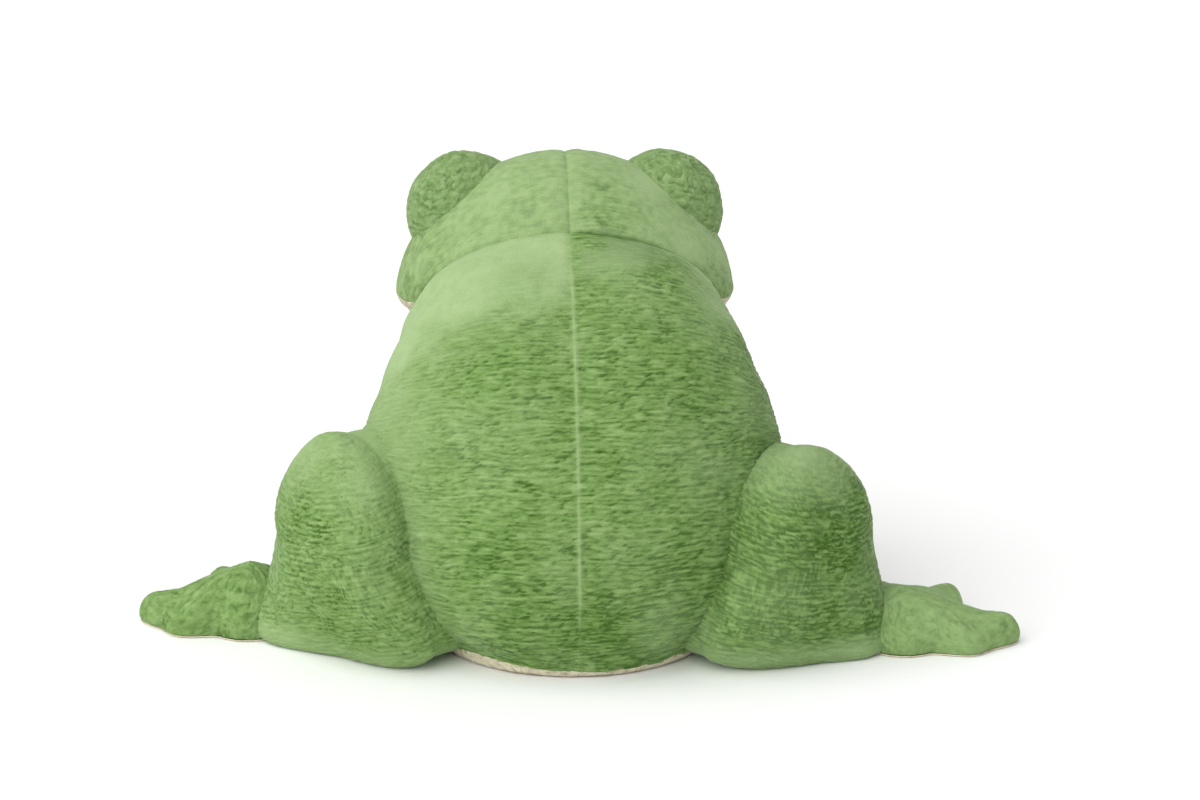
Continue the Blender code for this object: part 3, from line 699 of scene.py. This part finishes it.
def make_skins():
    upper, values, neck, low = make_upper()
    centre = upper.shape[1] // 2
    halves = (("left", slice(0, centre + 1)), ("right", slice(centre, None)))
    body_rows, head_rows = slice(0, neck + 1), slice(neck, None)
    for side, columns in halves:
        back = mesh_piece(f"back_plush_{side}", upper[body_rows, columns], GREEN,
                          taken(values, body_rows, columns))
        head_part(back)
        finish_skin(back, "green_plush", 0.6, f"back_panel_{side}")
        lipped, lip_values = curled(upper[head_rows], taken(values, head_rows, slice(None)), -1)
        middle = lipped.shape[1] // 2
        half = slice(0, middle + 1) if side == "left" else slice(middle, None)
        head = mesh_piece(f"head_plush_{side}", lipped[:, half], GREEN, taken(lip_values, slice(None), half))
        head_part(head)
        finish_skin(head, "green_plush", 0.8, f"head_panel_{side}")
    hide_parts("torso_stuffing")
    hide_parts("head_stuffing")

    lines = key_lines(LOWER_COLUMNS, FRONT_POWER, math.pi, 2 * math.pi, -SEAM_ANGLES, JAW, (math.pi, 0),
                      MOUTH_Z - LIP_GAP)
    lower, _ = fine_rows(lines, low)
    u, v = surface_lengths(lower)
    lower = plumped(lower, skin_held(u, v, neck, spine=False), SKIN_CAP)
    to_neck, to_side, _, side_depth, off_tip = seam_shape(lower, u, v, neck)
    throat = 1.8 * MM * ridge(to_neck, 3 * MM)
    lower = lower - normals_of(lower) * (throat + side_depth)[..., None]
    nap_and_light = 0.5 * soft_step(noise(lower, 35, 24))
    fade = fade_in(to_neck, 1.8 * MM) * fade_in(to_side, 2 * MM)
    lower, values = dressed(lower, 41, 0.7, nap_and_light, (0.25 + 0.75 * fade) * off_tip)
    lower[: neck + 1, 0] = upper[: neck + 1, -1]
    lower[: neck + 1, -1] = upper[: neck + 1, 0]
    every = slice(None)
    belly = mesh_piece("belly_plush", lower[body_rows], CREAM, taken(values, body_rows, every))
    head_part(belly)
    finish_skin(belly, "cream_plush", 0.6, "belly_panel")
    lipped, lip_values = curled(lower[head_rows], taken(values, head_rows, every), 1)
    jaw = mesh_piece("jaw_plush", lipped, CREAM, lip_values)
    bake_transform(jaw)
    finish_skin(jaw, "cream_plush", 0.7, "jaw_panel", "jaw_stuffing")


make_skins()


# ---- Closed stuffed forms ----

def solid_grain(grid, seed, short_way, long, short):
    """Places on a closed form, scaled so that a wave of its pile is one unit, short along short_way."""
    way = np.array(Vector(short_way).normalized())
    sway = 0.35 * noise(grid, seed, 20)
    scaled = grid / (long * MM) + np.multiply.outer(grid @ way, way) * (1 / short - 1 / long) / MM
    scaled = scaled + np.multiply.outer(sway, way) * 1.5
    shortest = int(np.argmax(abs(way)))
    return scaled[..., [(shortest + 2) % 3, shortest, (shortest + 1) % 3]]  # the rows of tufts step along Y


def stuffed(grid, seed, short_way, amplitude=0.75, nap_and_light=0.0, long=5.2, short=1.45, lump=0.35, fade=1.0,
            shade=0.0):
    """A closed form with its pile raised by an amplitude in mm, less where fade is below 1."""
    grain = solid_grain(grid, seed + 1, short_way, long, short)
    lumps = lump * noise(grid, seed + 9, 15)
    return raised_pile(grid, grain, seed, amplitude * MM * (1 - 0.8 * nap_and_light) * fade, lumps, nap_and_light, True, shade)


def on_floor(grid, lift=0.4 * MM, soft=2.5 * MM):
    """Presses the underside flat on the surface it sits on."""
    z = grid[..., 2] - lift
    grid[..., 2] = lift + 0.5 * (z + np.sqrt(z * z + soft * soft)) - 0.5 * soft * np.exp(-abs(z) / soft)
    return grid


def side_name(name, side):
    return name + ("_left" if side > 0 else "_right")


def pivot(name, side):
    return Vector(JOINTS[side_name(name, side)]["pos_m"])


# Eye mounds
MOUND_CENTRE = np.array((44, -54, 169.3)) * MM
MOUND_AIM = Vector((0.42, -0.12, 0.9)).normalized()
MOUND_RADII = np.array((27.6, 26.6, 27)) * MM
MOUND_LOWEST = -0.62  # the height angle of its open edge, inside the head
EYE_AIM = Vector((0.55, -0.80, 0.25)).normalized()
# The eye's dome: distance from its axis and height over the mound
EYE_PROFILE = np.array([(10.6, -1.6), (10.9, -0.6), (10.4, 0.4), (9.2, 1.9), (7.4, 3.3), (5.2, 4.3),
                        (2.8, 4.9), (0.05, 5.1)])
EYE_RADIUS = 10.9 * MM
EYE_OUT = 26.2 * MM  # from the mound's centre to the eye
PUPIL = (4.6 * MM, 3.1 * MM)


def ball_grid(radii, lowest, rows, columns):
    """Rings of a ball, from the height angle lowest up to its top."""
    rise = np.linspace(lowest, math.pi / 2 - 0.004, rows)[:, None]
    around = turns(columns)[None, :]
    return np.stack([np.cos(rise) * np.cos(around), np.cos(rise) * np.sin(around),
                     np.sin(rise) * np.ones_like(around)], axis=-1) * radii


def turned_to(grid, aim, place):
    turn = np.array(Vector(aim).to_track_quat("Z", "Y").to_matrix())
    return grid @ turn.T + np.array(place)


def make_mound(side):
    mirror = np.array((side, 1, 1))
    aim = Vector((side * MOUND_AIM.x, MOUND_AIM.y, MOUND_AIM.z))
    centre = MOUND_CENTRE * mirror
    grid = turned_to(ball_grid(MOUND_RADII, MOUND_LOWEST, 96, 190), aim, centre)
    held = np.broadcast_to(1 - soft_step((np.arange(len(grid)) - 2) / 14)[:, None], grid.shape[:2])
    grid = plumped(grid, held, MOUND_CAP, closed=True)
    swirl = (0.5 * side, 0.3, 0.9)
    grid, values = stuffed(grid, 60 + side, swirl, 0.7, nap_and_light=0.12, long=3.8, short=1.9, lump=0.9)
    mound = mesh_piece(side_name("eye_mound_plush", side), grid, MOUND_GREEN, values, closed=True,
                       caps=(False, True))
    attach(mound, "head")
    nodes = (side_name("eye_mound", side), side_name("eye_mound_stuffing", side))
    finish_skin(mound, "green_plush", 0.95, *nodes)
    make_eye(side, centre)


def make_eye(side, centre):
    """A domed amber eye with a dark oval pupil, set into the front of its mound."""
    aim = Vector((side * EYE_AIM.x, EYE_AIM.y, EYE_AIM.z))
    rows = catmull(EYE_PROFILE, np.linspace(0, len(EYE_PROFILE) - 1, 46))
    around = turns(72)
    grid = np.stack([np.outer(rows[:, 0], np.cos(around)), np.outer(rows[:, 0], np.sin(around)),
                     np.outer(rows[:, 1], np.ones_like(around))], axis=-1) * MM
    pupil = np.hypot(grid[..., 0] / PUPIL[0], grid[..., 1] / PUPIL[1])
    rim = np.hypot(grid[..., 0], grid[..., 1]) / EYE_RADIUS
    place = centre + np.array(aim) * EYE_OUT
    eye = mesh_piece(side_name("eye_ball", side), turned_to(grid, aim, place), AMBER,
                     {"pupil": pupil, "rim": rim}, closed=True, caps=(False, True))
    finish_ridden(eye, "head", "eye_plastic", side_name("eye", side))


# Haunches: distance outwards, half length, half height above the middle and below it
HAUNCH = np.array([(-7, 38, 44, 45), (1, 40, 46.5, 47.5), (8, 42, 47.8, 48.6), (15, 41.3, 47.6, 49),
                   (22, 37.5, 43.8, 48), (28, 30, 35.5, 43), (31.8, 19, 22.5, 30), (33.4, 9, 10.5, 14),
                   (33.7, 0.4, 0.5, 0.6)])
HAUNCH_COLUMNS = 260
HAUNCH_POWERS = (2.0, 4.2)  # how square its outline is above and below
HIP_TURN = {1: math.radians(36), -1: math.radians(42)}
HAUNCH_SIZE = {1: (0.88, 1.0), -1: (1.0, 0.87)}  # how far each swells outwards, and the height of its top
# How far the underside moves outwards, in mm, by the place along the haunch from its rear to its front
HAUNCH_BASE = {1: ((-56, -45, -39, -12, 16, 32, 45), (-22, -17, -14, -6, 11, 18, 18)),
               -1: ((-56, -45, -39, -12, 4, 20, 32, 45), (-22, -18, -14, 4, 18, 22, 20, 19))}


def body_tree(*names):
    """A search tree over pieces already made, in the frame's own origin."""
    points, faces = [], []
    for name in names:
        mesh = bpy.data.objects[name].data
        start = len(points)
        points += [v.co - ORIGIN for v in mesh.vertices]
        faces += [[start + i for i in polygon.vertices] for polygon in mesh.polygons]
    return BVHTree.FromPolygons(points, faces)


def haunch_grid(side, hip):
    out = np.array((side * math.cos(HIP_TURN[side]), math.sin(HIP_TURN[side]), 0))
    along = np.array((side * math.sin(HIP_TURN[side]), -math.cos(HIP_TURN[side]), 0))
    rows = catmull(HAUNCH, even_places(HAUNCH[:, :3], 0.9))
    angles = even_angles(2.3, HAUNCH_COLUMNS, -math.pi / 2, 1.5 * math.pi)[:-1]
    across, rise = super_ring(angles, np.where(np.sin(angles) > 0, *HAUNCH_POWERS))
    tallest = HAUNCH[:, 2].max()
    directions = np.stack([out, along, (0, 0, 1)])
    grid = []
    for distance, half_length, above, below in rows:
        outer = np.clip(distance / HAUNCH[-1][0], 0, 1)
        height = rise * np.where(rise > 0, above * HAUNCH_SIZE[side][1], below)
        low, high = np.clip(-height / tallest, 0, 1), np.clip(height / tallest, 0, 1)
        lateral = -side * half_length * across
        rear = 0.27 + 0.1 * outer + 0.21 * (1 - outer) ** 2
        lateral *= 1 + np.where(lateral < 0, rear, 0.12) * low - np.where(lateral < 0, 0.02, 0.2) * high
        base = np.interp(lateral, *HAUNCH_BASE[side])
        outwards = distance * HAUNCH_SIZE[side][0] + base * low**1.6 * (0.6 + 0.4 * outer)
        outwards -= 5 * outer * high**2
        grid.append(np.array(hip) + np.stack([outwards, lateral, height], axis=-1) @ directions * MM)
    return on_floor(np.array(grid)), out


RIM_ROWS = 8  # rows of a haunch that are drawn in to its seam on the flank
RIM_REACH = 34 * MM  # the most that a rim reaches in where the flank curves away from it
RIM_SINK = 0.8 * MM  # how far the rim goes in past the flank


def sew_rim(grid, inward, tree):
    """Draws the first rows of a haunch in, each point along one direction, until they meet the flank."""
    columns = grid.shape[1]
    reach = np.full(columns, RIM_REACH)
    for column in range(columns):
        distance = tree.ray_cast(Vector(grid[RIM_ROWS, column]), inward, RIM_REACH)[3]
        if distance is not None:
            reach[column] = distance
    nearby = np.array([np.roll(reach, shift) for shift in range(-9, 10)])
    reach = nearby.max(axis=0)
    reach = np.array([np.roll(reach, shift) for shift in range(-6, 7)]).mean(axis=0) + RIM_SINK
    start = grid[RIM_ROWS].copy()
    rim = start + np.outer(reach, inward)
    for row in range(RIM_ROWS):
        grid[row] = rim + (start - rim) * (row / RIM_ROWS) ** 0.7


def make_haunch(side, tree):
    hip = pivot("hip_swing", side)
    grid, out = haunch_grid(side, hip - ORIGIN)
    sewn = 1 - soft_step((np.arange(len(grid)) - RIM_ROWS) / 14)[:, None]
    resting = 1 - soft_step((grid[..., 2] - 2 * MM) / (10 * MM))
    grid = plumped(grid, np.maximum(sewn, resting), SKIN_CAP, closed=True)
    sew_rim(grid, -Vector(out), tree)
    to_pole = np.cumsum(np.linalg.norm(np.diff(grid[::-1], axis=0, prepend=grid[-1:]), axis=2), axis=0)[::-1]
    z = grid[..., 2] / MM
    # Painted light: the top of each haunch, which faces the lamp, and its base, lit from the floor, are
    # lighter; the noise is random brushing.
    nap_and_light = 0.6 * np.clip((z - 66) / 25, 0, 1) + 0.45 * np.clip((14 - z) / 8, 0, 1)
    nap_and_light = np.clip(nap_and_light + 0.2 * noise(grid, 19 + side, 22), 0, 0.85)
    # The right haunch is painted darker, as painted shade.
    grid, values = stuffed(grid, 80 + side, (0.28 * side, 0, 1), 0.75, nap_and_light=nap_and_light,
                           fade=np.clip(to_pole / (7 * MM), 0.0, 1), shade=0.0 if side > 0 else 0.19)
    haunch = mesh_piece(side_name("thigh_plush", side), grid, GREEN, values, closed=True, caps=(True, True))
    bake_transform(haunch)
    finish_skin(haunch, "green_plush", 0.85, side_name("thigh", side), side_name("thigh_stuffing", side))
    return out


# Feet: the way of the first toe, then for each toe its direction from the first and its reach in mm
FOOT_TURN = {1: math.radians(-13), -1: math.radians(2)}
FOOT_ROOT = {1: 30.5, -1: 26.0}  # the height of each foot at its ankle, in mm
HEEL_REACH = 19.0
WEB_REACH = 38.0
FAN = (math.radians(40), math.radians(-120))  # between these directions the web reaches out
TOES = ((0.0, 51.5), (math.radians(-56), 52.5), (math.radians(-96), 47.5))
TOE_SPREAD = 0.23  # half the angle that a toe's tip takes up
FAN_EDGE = 0.09  # how softly the web's reach begins and ends
UNDER_RIM = ((0.93, 0.03), (0.985, 0.10))  # shares of the edge and of the height where it turns under
SOLE_RINGS = ((1.0, 0.9), (0.97, 0.25), (0.6, 0.2), (0.25, 0.2), (0.01, 0.2))  # share of the outline, height
LOWEST = 0.5 * MM  # of the pile on a foot or hand


def toe_share(swing, reach, width):
    """How much a point lies on a toe, by its distance from the toe's middle line."""
    total = np.zeros_like(swing * reach)
    for way, _ in TOES:
        off = np.where(np.cos(swing - way) > 0, np.sin(swing - way) * reach, reach)
        total = np.maximum(total, ridge(off, width))
    return total


def paw_grid(place, side, turn, scale, heights, columns=300, rows=52):
    """The top of a foot or hand: a webbed fan, thick at its root and on its toes."""
    swing = np.linspace(-math.pi, math.pi, columns, endpoint=False)[None, :]
    enter = 1 / (1 + np.exp((swing - FAN[0]) / FAN_EDGE))
    leave = 1 / (1 + np.exp((FAN[1] - swing) / FAN_EDGE))
    edge = HEEL_REACH + (WEB_REACH - HEEL_REACH) * enter * leave
    for way, tip in TOES:
        edge = edge + (tip - WEB_REACH) * ridge(swing - way, TOE_SPREAD)
    share = np.linspace(0, 1, rows)[:, None] ** 1.5
    reach = edge * (1 - share)
    reach = np.maximum(reach, 0.15)
    root, toe, web = heights
    along = np.clip(reach / 50, 0, 1)
    ridge_height = toe + (root - toe) * (1 - along) ** 1.25
    web_height = root + (web - root) * np.clip(along * 1.5, 0, 1)
    on_toe = toe_share(swing, reach, 7.5 + 11.0 * (1 - along) ** 2)
    height = web_height + (ridge_height - web_height) * on_toe
    height -= 1.5 * ridge(reach - 34, 9) * on_toe
    in_from_edge = np.clip((edge - reach) / (0.55 * height), 0, 1)
    z = height * (0.22 + 0.78 * np.sqrt(1 - (1 - in_from_edge) ** 2))
    reach = np.concatenate([[edge[0] * share_of_edge for share_of_edge, _ in UNDER_RIM], reach])
    z = np.concatenate([[height[0] * share_of_height for _, share_of_height in UNDER_RIM], z])
    heading = swing + turn
    x = place[0] + side * reach * scale * MM * np.cos(heading)
    y = place[1] + reach * scale * MM * np.sin(heading)
    grid = np.stack([x, y, z * scale * MM], axis=-1)
    return grid if side > 0 else grid[:, ::-1]


def make_foot(side, out):
    ankle = pivot("ankle_flex", side)
    centre = np.array(ankle - ORIGIN)
    grid = paw_grid(centre, side, FOOT_TURN[side], 1.0, (FOOT_ROOT[side], 12.5, 9.5))
    across_toes = (0.25 * side, 0.7, 0.7)
    nap_and_light = 0.1 if side > 0 else 0.3
    grid, values = stuffed(grid, 90 + side, across_toes, 0.55, nap_and_light=nap_and_light, long=4.5, short=1.6, lump=0.5)
    grid[..., 2] = np.maximum(grid[..., 2], LOWEST)
    foot = mesh_piece(side_name("foot_plush", side), grid, GREEN, values, closed=True, caps=(False, True))
    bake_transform(foot)
    finish_skin(foot, "green_plush", 0.8, side_name("foot", side), side_name("foot_stuffing", side))
    rings = []
    for share, z in SOLE_RINGS:
        ring = centre + (grid[1] - centre) * share
        ring[:, 2] = z * MM
        rings.append(ring)
    sole_grid = catmull(np.array(rings)[:, ::-1], np.linspace(0, len(rings) - 1, 40))
    sole_grid[..., 2] = np.maximum(sole_grid[..., 2], 0.15 * MM)
    values = {"pile": 0.6 + 0.3 * noise(sole_grid, 5, 3), "nap_and_light": np.zeros(sole_grid.shape[:2]),
              "grain": sole_grid / (2 * MM)}
    sole = mesh_piece(side_name("sole_plush", side), sole_grid, CREAM, values, closed=True,
                      caps=(False, True))
    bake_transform(sole)
    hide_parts(side_name("foot_sole", side))


# Front legs: middle (x, y, z), half width, half depth
ARM = np.array([
    (64, -17, 72, 8, 11.5),
    (73.2, -26.3, 72, 9.2, 12.8),
    (79.5, -33, 70.5, 10, 13.3),
    (85.5, -40.5, 62, 10.6, 13.6),
    (88.5, -49, 48, 11, 13),
    (89, -62, 30, 11.3, 11.5),
    (87, -76, 15.5, 12.5, 9.5),
    (86, -88, 9, 14, 7.3),
    (86, -97, 6.5, 11, 4.5),
    (86, -100, 6, 2, 1),
])
HAND = (86, -85, 0)
HAND_TURN = math.radians(-46)
HAND_SCALE = 0.40  # of the hand against a foot


def make_arm(side):
    rows = catmull(ARM, even_places(ARM[:, :3], 1.0))
    middles = rows[:, :3] * np.array((side, 1, 1)) * MM
    ahead = np.gradient(middles, axis=0)
    angles = turns(96)
    across, rise = super_ring(angles, 2.1)
    grid = []
    for row, middle, way in zip(rows, middles, ahead):
        way = Vector(way).normalized()
        level = (Vector((side, 0, 0)) - way * way.x * side).normalized()
        up = way.cross(level) * side
        ring = middle + np.outer(row[3] * MM * across * side, level) + np.outer(row[4] * MM * rise, up)
        grid.append(ring)
    grid = on_floor(np.array(grid))
    grid, values = stuffed(grid, 100 + side, (0, 0.7, 1), 0.5, nap_and_light=0.1)
    arm = mesh_piece(side_name("arm_plush", side), grid, GREEN, values, closed=True, caps=(False, True))
    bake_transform(arm)
    finish_skin(arm, "green_plush", 0.8, side_name("arm", side), side_name("arm_stuffing", side))
    place = Vector((side * HAND[0], *HAND[1:])) * MM
    hand = paw_grid(place, side, HAND_TURN, HAND_SCALE, (30, 17, 12), 180, 34)
    hand, values = stuffed(hand, 110 + side, (0, 1, 0.2), 0.4, nap_and_light=0.1, long=5, short=2.4)
    hand[..., 2] = np.maximum(hand[..., 2], LOWEST)
    fingers = mesh_piece(side_name("hand_plush", side), hand, GREEN, values, closed=True, caps=(True, True))
    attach(fingers, side_name("arm", side))


# ---- Hem, linings and mouth ----

HEM_RADIUS = 2.9
HEM_MIDDLE = 3.1  # height of the middle of the roll
HEM_INSET = 3.3  # from the first line of the torso in to the middle of the roll


def make_hem():
    """The pale turned band round the hand opening, a soft roll that swells and thins."""
    around = turns(420)
    rear, _, front, _, half_width, _ = TORSO[0]
    middle_y, half_depth = 0.5 * (rear + front), 0.5 * (rear - front)
    across, along = super_ring(around, 2.0)
    swell = 1 + 0.22 * flat_noise(around * 1.9, around * 0, 6) + 0.16 * np.cos(around - 0.9)
    tall = 1 + 0.8 * np.clip(np.cos(around - 1.1), 0, 1)  # it shows most behind, on the left
    rings = []
    for angle in turns(22):
        depth = (HEM_RADIUS * math.cos(angle) - HEM_INSET) * swell
        height = (HEM_MIDDLE + HEM_RADIUS * math.sin(angle) * np.clip(swell, 0.8, 1)) * tall
        rings.append(np.stack([(half_width + depth) * across, middle_y + (half_depth + depth) * along,
                               np.maximum(height, 0.2)], axis=-1))
    rings.append(rings[0])
    grid = np.array(rings) * MM
    grid, values = stuffed(grid, 120, (0, 0, 1), 0.35, long=4, short=2.2)
    grid[-1] = grid[0]
    grid[..., 2] = np.maximum(grid[..., 2], 0.15 * MM)
    hem = mesh_piece("hem_plush", grid[::-1], CREAM, values, closed=True)
    finish_ridden(hem, "torso", "cream_plush", "opening_hem")


def cloth_tube(name, lines, body, node, seed, end_cap=False):
    """A lining: rings smoothed into a tube, with soft creases along it."""
    fine = catmull(lines, even_places(lines, 1.8 * MM))
    creases = 0.55 * noise(fine, seed, 14) + 0.3 * noise(fine, seed + 1, 6)
    fine = fine - normals_of(fine, True) * (creases * 0.8 * MM)[..., None]
    tube = mesh_piece(name, fine, LINING, closed=True, caps=(False, end_cap))
    finish_ridden(tube, body, "lining", node)


# Sleeve: its place from front to rear in each section of the torso, its half width and half depth
SLEEVE = ((0.50, 51, 40), (0.50, 49, 35), (0.50, 47, 31), (0.50, 46, 29), (0.50, 46, 27), (0.51, 46, 26),
          (0.52, 46, 25), (0.53, 46, 24))


def make_linings():
    angles = turns(120)
    across, along = super_ring(angles, 2.3)
    rings = []
    for body, (share, half_width, half_depth) in zip(TORSO, SLEEVE):
        rear, front = np.array((0, body[0], body[1])), np.array((0, body[2], body[3]))
        direction = (rear - front) / np.linalg.norm(rear - front)
        ring = front + (rear - front) * share + np.outer(half_depth * along, direction)
        ring[:, 0] = half_width * across
        rings.append(ring * MM)
    cloth_tube("sleeve_lining", np.array(rings), "torso", "hand_sleeve", 130)
    for name, node, rear, front, z, width, height, body in (
            ("finger_lining", "finger_pocket", -26, -98, 149.5, 44, 12, "head"),
            ("thumb_lining", "thumb_pocket", -58, -97, 123, 23, 7, "jaw")):
        across, along = super_ring(angles, 2.6)
        rings = []
        for share, w, h in ((0, 1, 1), (0.3, 1, 0.98), (0.6, 0.94, 0.92), (0.8, 0.82, 0.8), (0.92, 0.6, 0.6),
                            (1.0, 0.2, 0.2)):
            y = np.full_like(across, rear + (front - rear) * share)
            rings.append(np.stack([width * w * across, y, z + height * h * along], axis=-1) * MM)
        cloth_tube(name, np.array(rings), body, node, 140, end_cap=True)


MOUTH_INSET = 0.958  # the size of the mouth's fabric against the line of the lips


def make_mouth():
    """The two halves of the mouth's fabric, each dished a little, meeting at the hinge behind."""
    for name, sign, body, nodes in (("mouth_roof_cloth", 1, "head", ("mouth_roof", "upper_mouth_board")),
                                    ("mouth_floor_cloth", -1, "jaw", ("mouth_floor", "lower_mouth_board"))):
        lip = catmull(JAW[1:, 2:], even_places(JAW[1:, 2:], 1.3))[:, ::-1]
        outline = MOUTH_INSET * (np.concatenate([lip, lip[::-1] * (-1, 1)]) + (0, 40))
        rings = []
        for share in np.linspace(1, 0.01, 60):
            dish = 2.3 * (1 - share**2.5) + 0.25
            x, y = share * outline.T
            y = np.minimum(y - 40, -38.5 - 2.5 * (1 - share))
            rings.append(np.stack([x, y, np.full_like(x, sign * dish)], axis=-1))
        grid = np.array(rings) * MM + np.array((0, 0, MOUTH_Z))
        grid[..., 2] += 0.25 * MM * noise(grid, 150 + sign, 9) * sign
        if sign > 0:
            grid = grid[:, ::-1]
        finish_ridden(mesh_piece(name, grid, MOUTH), body, "mouth_fabric", *nodes)


skin_tree = body_tree("back_plush_left", "back_plush_right", "belly_plush")
for each_side in SIDES:
    make_mound(each_side)
    make_foot(each_side, make_haunch(each_side, skin_tree))
    make_arm(each_side)
make_hem()
make_linings()
make_mouth()


# ---- Stage ----

FLOOR_HALF = 9
SKY_STRENGTH = 0.6
SUN_STRENGTH = 2.3
SUN_WIDTH = math.radians(80)
SUN_FROM = Vector((0.85, 0.6, 1.2))
CAMERA_ELEVATION = math.radians(16)
CAMERA_AZIMUTH = math.radians(177)
CAMERA_TARGET = Vector((-12, 20, 102)) * MM
CAMERA_DISTANCE = 1.1
CAMERA_LENS = 77.1
SENSOR_WIDTH = 36


def make_stage():
    across = np.linspace(-FLOOR_HALF, FLOOR_HALF, 9)
    paper, shader, nodes, links = new_material("floor_paper", 0.85)
    grain = nodes.new("ShaderNodeTexNoise")
    grain.inputs["Scale"].default_value = 40
    tone = ramp(nodes, links, grain.outputs["Fac"], [(0.3, (0.96, 0.96, 0.96)), (0.7, (0.98, 0.98, 0.98))])
    links.new(tone, shader.inputs["Base Color"])
    mesh_piece("floor", np.array([[(x, y, 0) for x in across] for y in across]), paper, world=False)
    world = bpy.data.worlds.new("studio")
    world.use_nodes = True
    world.node_tree.nodes["Background"].inputs["Color"].default_value = (1, 1, 1, 1)
    world.node_tree.nodes["Background"].inputs["Strength"].default_value = SKY_STRENGTH
    bpy.context.scene.world = world
    bpy.context.scene.view_settings.view_transform = "Standard"
    sun = bpy.data.lights.new("window", "SUN")
    sun.energy = SUN_STRENGTH
    sun.angle = SUN_WIDTH
    place_facing("window", sun, (0, 0, 0), SUN_FROM)


def place_facing(name, data, place, back):
    """A light or camera at a place, looking the other way from back."""
    made = bpy.data.objects.new(name, data)
    bpy.context.scene.collection.objects.link(made)
    made.location = place
    made.rotation_mode = "QUATERNION"
    made.rotation_quaternion = (-back).to_track_quat("-Z", "Y")
    return made


def make_camera():
    level = math.cos(CAMERA_ELEVATION)
    back = Vector((math.sin(CAMERA_AZIMUTH) * level, -math.cos(CAMERA_AZIMUTH) * level,
                   math.sin(CAMERA_ELEVATION)))
    data = bpy.data.cameras.new("camera")
    data.lens = CAMERA_LENS
    data.sensor_width = SENSOR_WIDTH
    data.clip_start = 0.05
    place = ORIGIN + CAMERA_TARGET + back * CAMERA_DISTANCE
    bpy.context.scene.camera = place_facing("camera", data, place, back)


make_stage()
make_camera()
